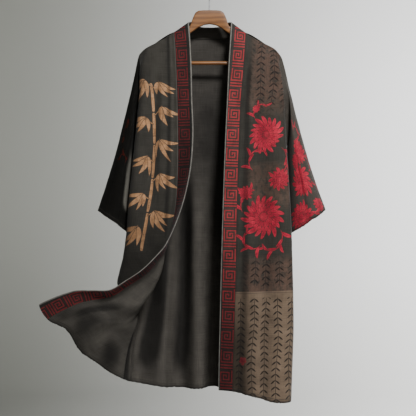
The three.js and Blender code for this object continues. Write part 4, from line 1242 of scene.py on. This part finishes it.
class PlainLook:
    """Finishes of the piping, the wood and the steel."""

    def __init__(self, groups: Groups) -> None:
        """Keep the shared node groups."""
        self.groups = groups

    @staticmethod
    def start(name: str) -> tuple:
        """Start a material and give it, its graph and its shader."""
        look = bpy.data.materials.new(name)
        look.use_nodes = True
        return look, Graph(look.node_tree), look.node_tree.nodes["Principled BSDF"]

    def piping(self) -> bpy.types.Material:
        """Grey corded cotton, wrapped on the slant, with painted shade in the grooves of its twist.
        """
        look, g, shader = self.start("piping")
        cloth = g.attribute("cloth")
        x, y, _ = g.split(cloth)
        turns = g.math("MULTIPLY_ADD", y, 900.0, g.math("MULTIPLY", x, 700.0))
        twist = g.math("PINGPONG", turns, 0.5)
        dirt = g.noise(cloth, 60.0, 3.0)
        # Painted shade: the colour is darker where the twist's bump is low, in its grooves
        tone = g.math("ADD", g.math("MULTIPLY", twist, 0.35), g.math("MULTIPLY", dirt, 0.9))
        dull = tuple(part * 0.5 for part in DYE.piping)
        colour = g.mix(g.ramp(tone, 0.3, 0.75), dull, DYE.piping)
        g.put(shader.inputs["Base Color"], colour)
        shader.inputs["Roughness"].default_value = 0.85
        shader.inputs["Sheen Weight"].default_value = 0.2
        bump = g.add("Bump", {"Height": twist, "Strength": 0.5, "Distance": 0.0005})
        g.put(shader.inputs["Normal"], bump.outputs[0])
        return look

    def wood(self) -> bpy.types.Material:
        """Honey-coloured wood under satin lacquer, its grain running along the hanger."""
        look, g, shader = self.start("wood")
        place = g.add("TexCoord", {}).outputs["Object"]
        bent = g.noise(g.scaled(place, 4, 18, 18), 1.0, 3.0)
        x, y, z = g.split(place)
        rise = g.math("ADD", g.math("MULTIPLY", z, 26.0), g.math("MULTIPLY", y, 9.0))
        waved = g.math("MULTIPLY_ADD", bent, 2.6, g.math("MULTIPLY", rise, 2.2))
        bands = g.math("PINGPONG", waved, 0.5)
        pores = g.noise(g.scaled(place, 40, 1300, 1300), 1.0, 2.0, 0.6)
        early = g.mix(g.ramp(bands, 0.05, 0.42), HARDWARE.wood_pale, HARDWARE.wood_dark)
        tone = g.ramp(pores, 0.3, 0.75, (0.82, 1.1))
        colour = g.vector("MULTIPLY", early, g.join(tone, tone, tone))
        g.put(shader.inputs["Base Color"], colour)
        g.put(shader.inputs["Roughness"], g.ramp(pores, 0.2, 0.8, (0.48, 0.34)))
        shader.inputs["Coat Weight"].default_value = 0.1
        shader.inputs["Coat Roughness"].default_value = 0.3
        shader.inputs["Specular IOR Level"].default_value = 0.3
        bump = g.add("Bump", {"Height": pores, "Strength": 0.12, "Distance": 0.0004})
        g.put(shader.inputs["Normal"], bump.outputs[0])
        return look

    def steel(self) -> bpy.types.Material:
        """Drawn steel wire with fine marks along it."""
        look, g, shader = self.start("steel")
        place = g.add("TexCoord", {}).outputs["Object"]
        marks = g.noise(g.scaled(place, 900, 900, 60), 1.0, 2.0)
        g.put(shader.inputs["Base Color"],
              g.mix(marks, HARDWARE.steel_dark, HARDWARE.steel_pale))
        g.put(shader.inputs["Roughness"], g.ramp(marks, 0.2, 0.8, (0.22, 0.4)))
        shader.inputs["Metallic"].default_value = 1.0
        bump = g.add("Bump", {"Height": marks, "Strength": 0.1, "Distance": 0.0002})
        g.put(shader.inputs["Normal"], bump.outputs[0])
        return look


def bamboo_strokes() -> tuple:
    """Brush strokes of the painted bamboo: a jointed stalk, twigs and drooping leaves.

    Returns:
        Strokes as (x, y, angle, length, width, point, curl, base), x from the band towards the
        side seam and y down the cloth, in metres and radians.
    """
    chance = random.Random(11)
    joints = ((0.088, 0.172), (0.082, 0.262), (0.079, 0.36), (0.084, 0.465), (0.090, 0.57),
              (0.098, 0.69))
    strokes = []
    for (x0, y0), (x1, y1) in zip(joints, joints[1:]):
        length = math.hypot(x1 - x0, y1 - y0) - 0.004
        lean = math.atan2(y1 - y0, x1 - x0)
        strokes.append((x0, y0 + 0.002, lean, length, 0.0105, 0.12, 0.01, 1.0))
    sprays = ((0.083, 0.188, 0), (0.084, 0.186, 1), (0.080, 0.272, 0), (0.081, 0.30, 1),
              (0.079, 0.37, 0), (0.082, 0.415, 1), (0.085, 0.475, 0), (0.088, 0.53, 1),
              (0.091, 0.58, 0), (0.096, 0.64, 1))
    for x, y, seaward in sprays:
        way = 1 if seaward else -1
        reach = chance.uniform(0.014, 0.024)
        rise = -chance.uniform(0.012, 0.024)
        tip_x, tip_y = x + way * reach, y + rise
        strokes.append((x, y, math.atan2(rise, way * reach), math.hypot(reach, rise) + 0.006,
                        0.0036, 0.2, 0.05 * way, 1.0))
        for spread in (12, 38, 62, 92):
            turn = spread + chance.uniform(-9, 9)
            angle = math.radians(turn if seaward else 180 - turn)
            length = chance.uniform(0.044, 0.074) * (1.1 if spread < 70 else 0.85)
            strokes.append((tip_x, tip_y, angle, length, chance.uniform(0.012, 0.0165), 0.85,
                            way * chance.uniform(0.02, 0.11), 0.62))
    return tuple(strokes)


def vine(x: float, y: float, radius: float, start: float, sweep: float, count: int,
         size: float) -> tuple:
    """A scrolling stem with leaves on both sides.

    Args:
        x: Across the cloth, the centre of the scroll.
        y: Down the cloth, the centre of the scroll.
        radius: The scroll's outer radius.
        start: The angle at which it starts.
        sweep: How far it turns.
        count: How many leaves it bears.
        size: The leaves' length.

    Returns:
        The scroll as (x, y, radius, start, sweep, width), and its leaves as (x, y, angle, length,
        width, curl).
    """
    leaves = []
    for k in range(count):
        t = (k + 0.5) / count
        a = start + t * sweep
        r = radius * (1 - SCROLL_SHRINK * t)
        side = 1 if k % 2 else -1
        turn = a + math.pi / 2 + side * 0.75
        length = size * (1.1 - 0.35 * t) * (1 + 0.12 * math.sin(5.0 * k + 30 * y))
        leaves.append((x + r * math.cos(a), y + r * math.sin(a), turn, length, 0.3 * length,
                       -0.1 * side))
    return (x, y, radius, start, sweep, 0.0042), leaves


def garland(vines: tuple) -> tuple:
    """The scrolls and all the leaves of several vines."""
    grown = [vine(*each) for each in vines]
    return tuple(scroll for scroll, _ in grown), tuple(leaf for _, some in grown for leaf in some)


def within(items: tuple, low: float, high: float, size: int) -> tuple:
    """The items that show between two places down the cloth, each reaching its item[size]."""
    return tuple(item for item in items
                 if low - 1.15 * item[size] < item[1] < high + 1.15 * item[size])


LEFT_ZONES = (0.3, 0.42, 0.54)
RIGHT_ZONES = (0.24, 0.33, 0.42, 0.53, 0.63, 0.79)
SLEEVE_ZONES = (0.27, 0.36, 0.46)
PAPER_FROM = 0.806

FRONT_BLOSSOMS = (
    (0.086, 0.33, 0.057, 17.0, 0.0, 0.5), (0.085, 0.58, 0.07, 18.0, 0.4, -0.5),
    (0.134, 0.468, 0.036, 13.0, 0.2, 0.4), (0.028, 0.505, 0.023, 11.0, 0.9, 0.3),
    (0.052, 0.25, 0.013, 8.0, 0.5, 0.3),
)
FRONT_VINES = (
    (0.072, 0.405, 0.042, 2.2, 3.0, 6, 0.032), (0.11, 0.42, 0.055, 5.2, 2.6, 6, 0.034),
    (0.075, 0.26, 0.032, 2.4, 3.0, 5, 0.024), (0.066, 0.53, 0.06, 2.5, 1.7, 5, 0.036),
    (0.105, 0.65, 0.046, 5.6, 3.0, 7, 0.034), (0.048, 0.645, 0.036, 0.6, 3.6, 7, 0.032),
)
SLEEVE_BLOSSOMS = (
    (-0.082, 0.318, 0.045, 14.0, 0.3, 0.5), (-0.1, 0.412, 0.055, 16.0, 0.0, -0.5),
    (-0.112, 0.52, 0.05, 16.0, 0.7, 0.4), (-0.036, 0.485, 0.024, 11.0, 0.2, 0.4),
    (-0.124, 0.352, 0.03, 11.0, 0.5, 0.4),
)
SLEEVE_VINES = (
    (-0.05, 0.36, 0.036, 3.6, 3.4, 6, 0.03), (-0.03, 0.4, 0.03, 5.4, 3.2, 5, 0.026),
    (-0.06, 0.54, 0.036, 3.4, 3.4, 6, 0.03), (-0.075, 0.262, 0.03, 3.2, 3.6, 6, 0.028),
)
# Prints on the left sleeve, which its painted shade darkens
SHADED_SLEEVE_BLOSSOMS = ((-0.06, 0.225, 0.017, 9.0, 0.3, 0.3), (-0.05, 0.275, 0.011, 6.0, 0.3, 0.3))
SHADED_SLEEVE_VINES = ((-0.055, 0.25, 0.022, 3.6, 3.4, 4, 0.018), (-0.07, 0.34, 0.024, 2.6, 3.6, 5, 0.022))


@dataclass
class Garment:
    """The long kimono: panels, collar band, piping and sleeves."""

    groups: Groups
    fine: float = 1.0

    def __post_init__(self) -> None:
        """Work out the surfaces that the pieces share."""
        self.left = cloth_net(FRONT_COLUMNS, shoulder_rows(LEFT_SHOULDER, -1) + LEFT_FRONT)
        self.right = cloth_net(FRONT_COLUMNS, shoulder_rows(RIGHT_SHOULDER, -1) + RIGHT_FRONT)
        self.back = self.back_net()
        plain = PlainLook(self.groups)
        self.piping_look = plain.piping()
        # The back's inner face gets painted shade beside its first side seam, low down
        self.inside = InsideLook("cloth_inside", self.groups, ground=DYE.inside, sheen=0.0,
                                 painted_shade_floor=0.2, turned=1.0).make()
        self.inside_front = InsideLook("cloth_inside_front", self.groups,
                                       ground=DYE.inside_front, sheen=0.0, cloudy=True,
                                       painted_shade_floor=0.25).make()
        # Painted shade: the left band is painted far darker than the right, and the right darkens
        # towards the hem
        self.band_looks = {
            "left": BandLook("band", self.groups, ground=DYE.band, top=0.34, low=0.17,
                             last=0.5).make(),
            "right": BandLook("band", self.groups, ground=DYE.band, top=0.95, low=0.32,
                              last=0.32, fade=(0.5, 1.0)).make(),
        }

    def cells(self, across: int, down: int) -> tuple:
        """The grid's size, coarser when `fine` is below one."""
        return max(2, round(across * self.fine)), max(8, round(down * self.fine))

    @staticmethod
    def back_edge(net: Surface, vs: np.ndarray) -> np.ndarray:
        """The back's side edge: apart from the front's down the armhole, with it below."""
        edge = net(np.array([0.0]), vs)
        above = (vs < UNDERARM_ROW)[:, None]
        edge[..., 1] = np.where(above, np.abs(edge[..., 1]), edge[..., 1])
        return edge

    def back_net(self) -> Surface:
        """The back, with its edges brought exactly to the side seams of the fronts."""
        rows = shoulder_rows(BACK_TOP, 1, ("napeLeft", "centre", "napeRight")) + BACK_ROWS
        at = np.array([row["v"] for row in rows])
        left, right = self.back_edge(self.left, at), self.back_edge(self.right, at)
        full = [
            {"v": row["v"], "seamLeft": left[k, 0], **{n: row[n] for n in BACK_TOP},
             "seamRight": right[k, 0]}
            for k, row in enumerate(rows)
        ]
        net = cloth_net(BACK_COLUMNS, full)

        def surface(us: np.ndarray, vs: np.ndarray) -> np.ndarray:
            """Give the back's points at places across and down."""
            pull_left = self.back_edge(self.left, vs) - net(np.array([0.0]), vs)
            pull_right = self.back_edge(self.right, vs) - net(np.array([1.0]), vs)
            near_left = (1 - ease(0, 0.12, us))[None, :, None]
            near_right = ease(0.88, 1, us)[None, :, None]
            return net(us, vs) + pull_left * near_left + pull_right * near_right

        return surface

    def sleeve(self, table: list, net: Surface) -> Surface:
        """A sleeve's tube, which follows the panels' edges at the armhole."""
        tube = cloth_net(SLEEVE_COLUMNS, table)

        def armhole(us: np.ndarray) -> np.ndarray:
            """The armhole's edge at places round it."""
            rows = UNDERARM_ROW * np.abs(1 - 2 * us)
            front = net(np.array([0.0]), rows)[:, 0]
            back = front * np.array([1, 0, 1]) + np.abs(front) * np.array([0, 1, 0])
            return np.where((us <= 0.5)[:, None], front, back)

        def surface(us: np.ndarray, vs: np.ndarray) -> np.ndarray:
            """Give the sleeve's points at places round and along."""
            pull = armhole(us) - tube(us, np.array([0.0]))[0]
            return tube(us, vs) + pull[None] * (1 - ease(0, 0.3, vs))[:, None, None]

        return surface

    def collar_neck(self) -> Surface:
        """The collar round the back of the neck, on the back panel's top edge."""
        low, high = BACK_COLUMNS["neckLeft"], BACK_COLUMNS["neckRight"]
        knots, rises = list(COLLAR_RISE), np.array(list(COLLAR_RISE.values()), float)

        def surface(us: np.ndarray, vs: np.ndarray) -> np.ndarray:
            """Give the collar's points at places up from its seam and round the neck."""
            seam = self.back(low + (high - low) * vs, np.array([0.0]))[0]
            return seam[:, None] + spline(knots, rises, vs)[:, None] * us[None, :, None]

        return surface

    def add(self, cloth: Cloth, node: str, finish: Finish, looks: list, flat: tuple,
            held: str, rests_on: tuple = (), area: float | None = None) -> bpy.types.Object:
        """Build a piece of cloth and dress it.

        Args:
            cloth: The piece.
            node: The CAD node that it stands for.
            finish: The record's material slot.
            looks: Its materials, the outer face first.
            flat: The width and length of its cut, in metres; not used.
            held: How it is held; not used.
            rests_on: What it hangs from; not used.
            area: Its flat area where the cut isn't a rectangle; not used.

        Returns:
            The piece's object.
        """
        piece = cloth.build()
        finish_piece(piece, node, finish, looks)
        LOG.info("%s: %.4f square metres of cloth", piece.name, cloth_area(piece))
        return piece

    @staticmethod
    def round_edges(piece: bpy.types.Object) -> None:
        """Round a narrow strip's section into an oval."""
        smooth = piece.modifiers.new("round", "SUBSURF")
        smooth.levels = smooth.render_levels = 1

    def front(self, side: str, net: Surface, folds: tuple, face: int, looks: list,
              zones: tuple, painted_shading: tuple, finish: Finish, seed: float) -> None:
        """One front: the panel, the band along its free edge, and the band's piping."""
        surface = folded(net, folds, face)
        self.add(
            Cloth(f"cloth_front_{side}", surface, (-0.008, 1.0), (0.0, 1.0), self.cells(84, 320),
                  face, CLOTH_WALL, Crumple(seed=seed), way=-1, painted_shading=painted_shading, fray=2.4,
                  zones=zones, tuck=(0.3, 0.8, 0.4)),
            f"front_{side}", finish, looks, (0.32, 1.13), "hung",
            ("hanger_board",), 0.25)
        band = Cloth(f"band_{side}", surface, (0.998, CORD_AT + 0.002), (0.0, 1.0),
                     self.cells(14, 320), face, BAND_WALL, Crumple(0.5, 0.2, seed + 1),
                     strip=True)
        self.add(band, f"collar_{side}", Finish.BAND, [self.band_looks[side]] * 2,
                 (0.046, 1.13), "hung", ("hanger_board",))
        piping = Cloth(f"cord_{side}", surface, (CORD_AT, BAND_EDGE), (0.0, 1.0),
                       self.cells(2, 320), face, PIPING_WALL, Crumple(0.5, 0.2, seed + 1),
                       strip=True)
        edge = self.add(piping, f"piping_{side}", Finish.PIPING,
                        [self.piping_look, self.piping_look], (0.012, 1.13), "folded",
                        (), 0.006)
        self.round_edges(edge)

    def zoned(self, limits: tuple, make: Callable) -> list:
        """The looks of a panel's zones from the shoulder down, each with the inner face's look."""
        looks = []
        for low, high in zip((-1.0, *limits), (*limits, 9.0)):
            looks += [make(low, high), self.inside_front]
        return looks

    def bamboo_look(self, low: float, high: float) -> bpy.types.Material:
        """The left front's look between two places down the cloth."""
        strokes = within(bamboo_strokes(), low, high, 3)
        return BambooLook("cloth_front_left", self.groups, strokes=strokes, painted_shade_floor=0.3).make()

    def blossom_look(self, low: float, high: float) -> bpy.types.Material:
        """The right front's look between two places down the cloth."""
        stems, leaves = garland(FRONT_VINES)
        return BlossomLook(
            "cloth_front_right", self.groups, painted_shade_floor=0.45,
            blossoms=within(FRONT_BLOSSOMS, low, high, 2), leaves=within(leaves, low, high, 3),
            scrolls=within(stems, low, high, 2), sprigs=low < 0.25 or 0.6 < low < 0.7,
            paper_from=PAPER_FROM if high > PAPER_FROM else 0.0).make()

    def sleeve_look(self, low: float, high: float) -> bpy.types.Material:
        """The right sleeve's look between two places down the cloth."""
        stems, leaves = garland(SLEEVE_VINES)
        return BlossomLook(
            "cloth_sleeve_right", self.groups, ground=DYE.sleeve_right,
            blossoms=within(SLEEVE_BLOSSOMS, low, high, 2), leaves=within(leaves, low, high, 3),
            scrolls=within(stems, low, high, 2), mottled=False).make()

    def build(self) -> None:
        """Make every piece of cloth."""
        left = self.zoned(LEFT_ZONES, self.bamboo_look)
        right = self.zoned(RIGHT_ZONES, self.blossom_look)
        sleeve_right = self.zoned(SLEEVE_ZONES, self.sleeve_look)
        stems, leaves = garland(SHADED_SLEEVE_VINES)
        # The left sleeve is darkened almost to black by painted shade, its prints with it
        print_under_painted_shade = BlossomLook("cloth_sleeve_left", self.groups, ground=DYE.sleeve_left,
                                blossoms=SHADED_SLEEVE_BLOSSOMS, leaves=leaves, scrolls=stems, mottled=False,
                                deep=DYE.red_under_painted_shade, bright=DYE.tan, sheen=0.01,
                                specular=0.04, painted_shade_floor=0.05).make()
        plain = ClothLook("cloth_plain", self.groups).make()
        self.front("left", self.left, LEFT_FRONT_FOLDS, -1, left, LEFT_ZONES,
                   LEFT_FRONT_SHADES, Finish.FRONT_LEFT, 2.0)
        self.front("right", self.right, RIGHT_FRONT_FOLDS, 1, right, RIGHT_ZONES,
                   RIGHT_FRONT_SHADES, Finish.FRONT_RIGHT, 5.0)
        self.add(
            Cloth("cloth_back", folded(self.back, BACK_FOLDS, -1), (-0.002, 1.002), (0.0, 1.0),
                  self.cells(130, 300), 1, CLOTH_WALL, Crumple(seed=9.0), origin=0.5,
                  painted_shading=BACK_SHADES, fray=2.4, tuck=(-0.3, -0.3, 0.4)),
            "back", Finish.BACK, [plain, self.inside], (0.66, 1.13), "hung",
            ("hanger_board",), 0.6)
        collar = self.collar_neck()
        top = 1 - CORD_WIDTH / COLLAR_HEIGHT
        self.add(
            Cloth("band_neck", collar, (-0.03, top), (0.004, 0.996), self.cells(12, 90), 1,
                  BAND_WALL, Crumple(0.3, 0.15, 12.0), origin=0.0),
            "collar_neck", Finish.BAND, [self.band_looks["right"], self.inside], (0.046, 0.27),
            "folded")
        self.round_edges(self.add(
            Cloth("cord_neck", collar, (top, 1.0), (0.004, 0.996), self.cells(2, 90), 1,
                  PIPING_WALL, Crumple(0.3, 0.15, 12.0), origin=0.0),
            "piping_neck", Finish.PIPING, [self.piping_look, self.piping_look],
            (0.012, 0.25), "folded", (), 0.0013))
        sleeves = (
            ("left", LEFT_SLEEVE, self.left, -1, [print_under_painted_shade, self.inside_front], (),
             SLEEVE_LEFT_SHADES, Finish.SLEEVE_LEFT),
            ("right", RIGHT_SLEEVE, self.right, 1, sleeve_right, SLEEVE_ZONES, (),
             Finish.SLEEVE_RIGHT),
        )
        for side, table, net, face, looks, zones, painted_shading, finish in sleeves:
            tube = folded(self.sleeve(table, net), SLEEVE_FOLDS, face)
            self.add(
                Cloth(f"cloth_sleeve_{side}", tube, (0.001, 0.999), (0.002, 1.0),
                      self.cells(110, 140), -face, CLOTH_WALL, Crumple(1.4, 0.45, 14.0 + face),
                      origin=0.5, painted_shading=painted_shading, fray=2.4, zones=zones, tuck=(0.6, 0.6, 0.3)),
                f"sleeve_{side}", finish, looks, (0.3, 0.45), "hung", (), 0.1)


@dataclass
class Hanger:
    """The wooden hanger: a contoured board, a round bar between its arms, and a wire hook."""

    look: PlainLook
    thickness: float = 12.0
    corner: float = 3.0
    bar_end: float = 182.6
    bar_radius: float = 6.0
    bar_height: float = -240.0
    wire: float = 4.0
    hook_radius: float = 20.0
    half_span: float = 207.0
    crown: tuple = ((0, -76), (20, -76.1), (34, -77.2), (44, -83.5), (52, -100), (60, -124),
                    (112, -152))
    arm_end: tuple = ((170, 0), (190, -1.5), (200, -4), (207, -12))
    underside: tuple = ((0, -119), (18, -122), (37, -131), (60, -148), (100, -178),
                        (140, -205), (174, -225), (183, -231), (184, -251), (204, -251),
                        (207, -248))

    @staticmethod
    def read(pairs: tuple, x: float) -> float:
        """A height read off straight lines between (distance, height) pairs."""
        return float(np.interp(x, [p[0] for p in pairs], [p[1] for p in pairs]))

    def shoulder(self, x: float) -> float:
        """The cloth's shoulder line at a distance from the middle, the lower of both fronts."""
        heights = []
        for line in (LEFT_SHOULDER, RIGHT_SHOULDER):
            points = sorted((abs(p[0]), p[2]) for p in line.values())
            knots = np.array([p[0] for p in points], float)
            values = np.array([[p[1]] for p in points], float)
            heights.append(float(spline(knots, values, np.array([x]))[0, 0]))
        return min(heights)

    def top(self, x: float) -> float:
        """The board's top edge at a distance from the middle."""
        if x <= self.crown[-1][0]:
            return self.read(self.crown, x)
        arm = min(self.crown[-1][1], self.shoulder(x) - 2)
        return arm + (self.read(self.arm_end, x) if x > self.arm_end[0][0] else 0.0)

    def section(self, x: float, count: int) -> list:
        """The board's section at a place along it: a round top and eased lower corners."""
        half = self.thickness / 2
        top, bottom = self.top(abs(x)), self.read(self.underside, abs(x))
        outline = []
        for k in range(count):
            turn = 2 * math.pi * k / count
            y, z = math.cos(turn), math.sin(turn)
            if z >= 0:
                outline.append((x, half * y, top - half + half * z))
            else:
                square = max(abs(y), abs(z)) ** -0.55
                outline.append((x, half * max(-1, min(1, y * square)),
                                bottom + self.corner * (1 + max(-1, z * square))))
        return outline

    def board(self) -> bpy.types.Object:
        """The contoured board."""
        count = 40
        stations = np.concatenate([np.linspace(-self.half_span, -184, 12),
                                   np.linspace(-182.5, 182.5, 150),
                                   np.linspace(184, self.half_span, 12)])
        made = bmesh.new()
        bmesh.ops.create_grid(made, x_segments=count, y_segments=len(stations) - 1, size=1.0)
        rings = [self.section(x, count) for x in stations]
        for vert in made.verts:
            i = round((vert.co.x + 1) / 2 * count) % count
            j = round((vert.co.y + 1) / 2 * (len(stations) - 1))
            vert.co = Vector(rings[j][i]) * MM
        bmesh.ops.remove_doubles(made, verts=made.verts, dist=1e-6)
        bmesh.ops.holes_fill(made, edges=made.edges, sides=count)
        bmesh.ops.recalc_face_normals(made, faces=made.faces)
        return self.piece("wood_board", made)

    def bar(self) -> bpy.types.Object:
        """The round bar, its ends let into the arms."""
        made = bmesh.new()
        turn = Matrix.Rotation(math.pi / 2, 4, "Y")
        move = Matrix.Translation((0, 0, self.bar_height * MM))
        bmesh.ops.create_cone(
            made, cap_ends=True, segments=40, radius1=self.bar_radius * MM,
            radius2=self.bar_radius * MM, depth=2 * self.bar_end * MM, matrix=move @ turn)
        rims = [edge for edge in made.edges if len(edge.link_faces) == 2
                and any(len(each.verts) > 4 for each in edge.link_faces)]
        bmesh.ops.bevel(made, geom=rims, offset=0.8 * MM, segments=3, profile=0.5,
                        affect="EDGES", material=-1)
        return self.piece("wood_bar", made)

    @staticmethod
    def piece(name: str, made: bmesh.types.BMesh) -> bpy.types.Object:
        """Turn a bmesh into a smooth object."""
        for each in made.faces:
            each.smooth = len(each.verts) < 8
        mesh = bpy.data.meshes.new(name)
        made.to_mesh(mesh)
        made.free()
        piece = bpy.data.objects.new(name, mesh)
        bpy.context.collection.objects.link(piece)
        return piece

    def hook_line(self) -> list:
        """The hook's line: a straight shank, an S-bend, then three quarters of a circle."""
        centre = -self.hook_radius + self.wire / 2
        line = [(0.0, -76.0), (0.0, -66.0), (0.0, -56.0), (0.0, -46.0), (1.8, -42.0), (5.2, -38.4)]
        for degrees in np.linspace(-60, 205, 21):
            angle = math.radians(degrees)
            line.append((self.hook_radius * math.cos(angle),
                         centre + self.hook_radius * math.sin(angle)))
        return line

    def hook(self) -> bpy.types.Object:
        """The wire hook, its free end rounded."""
        line = self.hook_line()
        curve = bpy.data.curves.new("steel_hook", "CURVE")
        curve.dimensions = "3D"
        curve.bevel_depth = self.wire / 2 * MM
        curve.bevel_resolution = 6
        curve.resolution_u = 6
        curve.use_fill_caps = True
        wire = curve.splines.new("NURBS")
        wire.points.add(len(line) - 1)
        for point, (x, z) in zip(wire.points, line):
            point.co = (x * MM, 0.0, z * MM, 1.0)
        wire.use_endpoint_u = True
        wire.order_u = 4
        wire.points[-1].radius = 0.6
        piece = bpy.data.objects.new("steel_hook", curve)
        bpy.context.collection.objects.link(piece)
        return piece

    def build(self) -> None:
        """Make the board, the bar and the hook."""
        wood, steel = self.look.wood(), self.look.steel()
        finish_piece(self.board(), "hanger_board", Finish.WOOD, [wood])
        finish_piece(self.bar(), "hanger_bar", Finish.WOOD, [wood])
        hook = self.hook()
        hook.data.materials.append(steel)
        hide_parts("hanger_hook")
        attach(hook, "root")


@dataclass(frozen=True)
class Lamp:
    """A soft round area light: its place, what it faces, its size in metres and its watts."""

    name: str
    place: tuple
    target: tuple
    size: float
    power: float


GARMENT_MIDDLE = (0.0, 0.0, -0.65)


@dataclass
class Studio:
    """The pale room, its lights and the camera at the photograph's angle."""

    wall_radius: float = 7.0
    wall_top: float = 4.5
    floor: float = -2.3
    cove: float = 1.6
    camera_at: tuple = (-0.00465, -3.0, -0.689)
    lens: float = 83.75
    lamps: tuple = (
        Lamp("key", (1.15, -3.3, 2.2), GARMENT_MIDDLE, 0.9, 370),
        Lamp("fill", (0.0, -4.4, 0.2), GARMENT_MIDDLE, 1.6, 14),
        Lamp("wash", (2.6, 2.8, 0.4), (3.2, 7.0, -0.7), 1.6, 330),
    )
    # Painted shade on the wall: the paint is darker to the left and towards the floor
    left_low: RGB = (0.19, 0.194, 0.172)
    left_high: RGB = (0.27, 0.275, 0.247)
    right_low: RGB = (0.68, 0.68, 0.665)
    right_high: RGB = (0.8, 0.8, 0.8)

    def room(self) -> None:
        """A round wall that curves into the floor, so that no line shows between them."""
        made = bmesh.new()
        profile = [(0.001, self.floor)]
        for degrees in range(0, 91, 6):
            a = math.radians(degrees)
            profile.append((self.wall_radius - self.cove + self.cove * math.sin(a),
                            self.floor + self.cove * (1 - math.cos(a))))
        profile.append((self.wall_radius, self.wall_top))
        verts = [made.verts.new((x, 0, z)) for x, z in profile]
        edges = [made.edges.new(pair) for pair in zip(verts, verts[1:])]
        bmesh.ops.spin(made, geom=verts + edges, cent=(0, 0, 0), axis=(0, 0, 1),
                       angle=2 * math.pi, steps=96, use_merge=True)
        bmesh.ops.recalc_face_normals(made, faces=made.faces)
        bmesh.ops.reverse_faces(made, faces=made.faces)
        for each in made.faces:
            each.smooth = True
        mesh = bpy.data.meshes.new("studio")
        made.to_mesh(mesh)
        made.free()
        wall = bpy.data.objects.new("studio", mesh)
        bpy.context.collection.objects.link(wall)
        wall.data.materials.append(self.paint())

    def paint(self) -> bpy.types.Material:
        """Pale paint with painted shade: darker to the left of the garment and lower down."""
        look = bpy.data.materials.new("studio")
        look.use_nodes = True
        g = Graph(look.node_tree)
        shader = look.node_tree.nodes["Principled BSDF"]
        x, _, z = g.split(g.add("TexCoord", {}).outputs["Object"])
        left = g.mix(g.ramp(z, -2.4, -0.5), self.left_low, self.left_high)
        right = g.mix(g.ramp(z, -2.4, -1.0), self.right_low, self.right_high)
        g.put(shader.inputs["Base Color"], g.mix(g.ramp(x, -2.2, 2.4), left, right))
        shader.inputs["Roughness"].default_value = 0.95
        return look

    @staticmethod
    def light(lamp: Lamp) -> None:
        """Hang a lamp and turn it to its target."""
        area = bpy.data.lights.new(lamp.name, "AREA")
        area.shape = "DISK"
        area.size = lamp.size
        area.energy = lamp.power
        lit = bpy.data.objects.new(lamp.name, area)
        lit.location = lamp.place
        aim = Vector(lamp.target) - Vector(lamp.place)
        lit.rotation_euler = aim.to_track_quat("-Z", "Y").to_euler()
        lit.visible_camera = False
        bpy.context.collection.objects.link(lit)

    def camera(self) -> None:
        """The camera, level and straight on, as the photograph was taken."""
        view = bpy.data.cameras.new("camera")
        view.lens = self.lens
        view.sensor_width = 36
        seen = bpy.data.objects.new("camera", view)
        seen.location = self.camera_at
        seen.rotation_euler = (math.radians(90), 0, 0)
        bpy.context.collection.objects.link(seen)
        bpy.context.scene.camera = seen

    def build(self) -> None:
        """Set up the room, the lights and the camera."""
        self.room()
        self.camera()
        for lamp in self.lamps:
            self.light(lamp)
        world = bpy.data.worlds.new("studio")
        world.use_nodes = True
        sky = world.node_tree.nodes["Background"]
        sky.inputs["Color"].default_value = (1.0, 1.0, 0.98, 1.0)
        sky.inputs["Strength"].default_value = 0.1
        bpy.context.scene.world = world


def main() -> None:
    """Build the stage, the hanger and the garment."""
    logging.basicConfig(level=logging.INFO, format="%(name)s: %(message)s")
    Studio().build()
    groups = Groups()
    Hanger(PlainLook(groups)).build()
    Garment(groups).build()


if __name__ == "__main__":
    main()
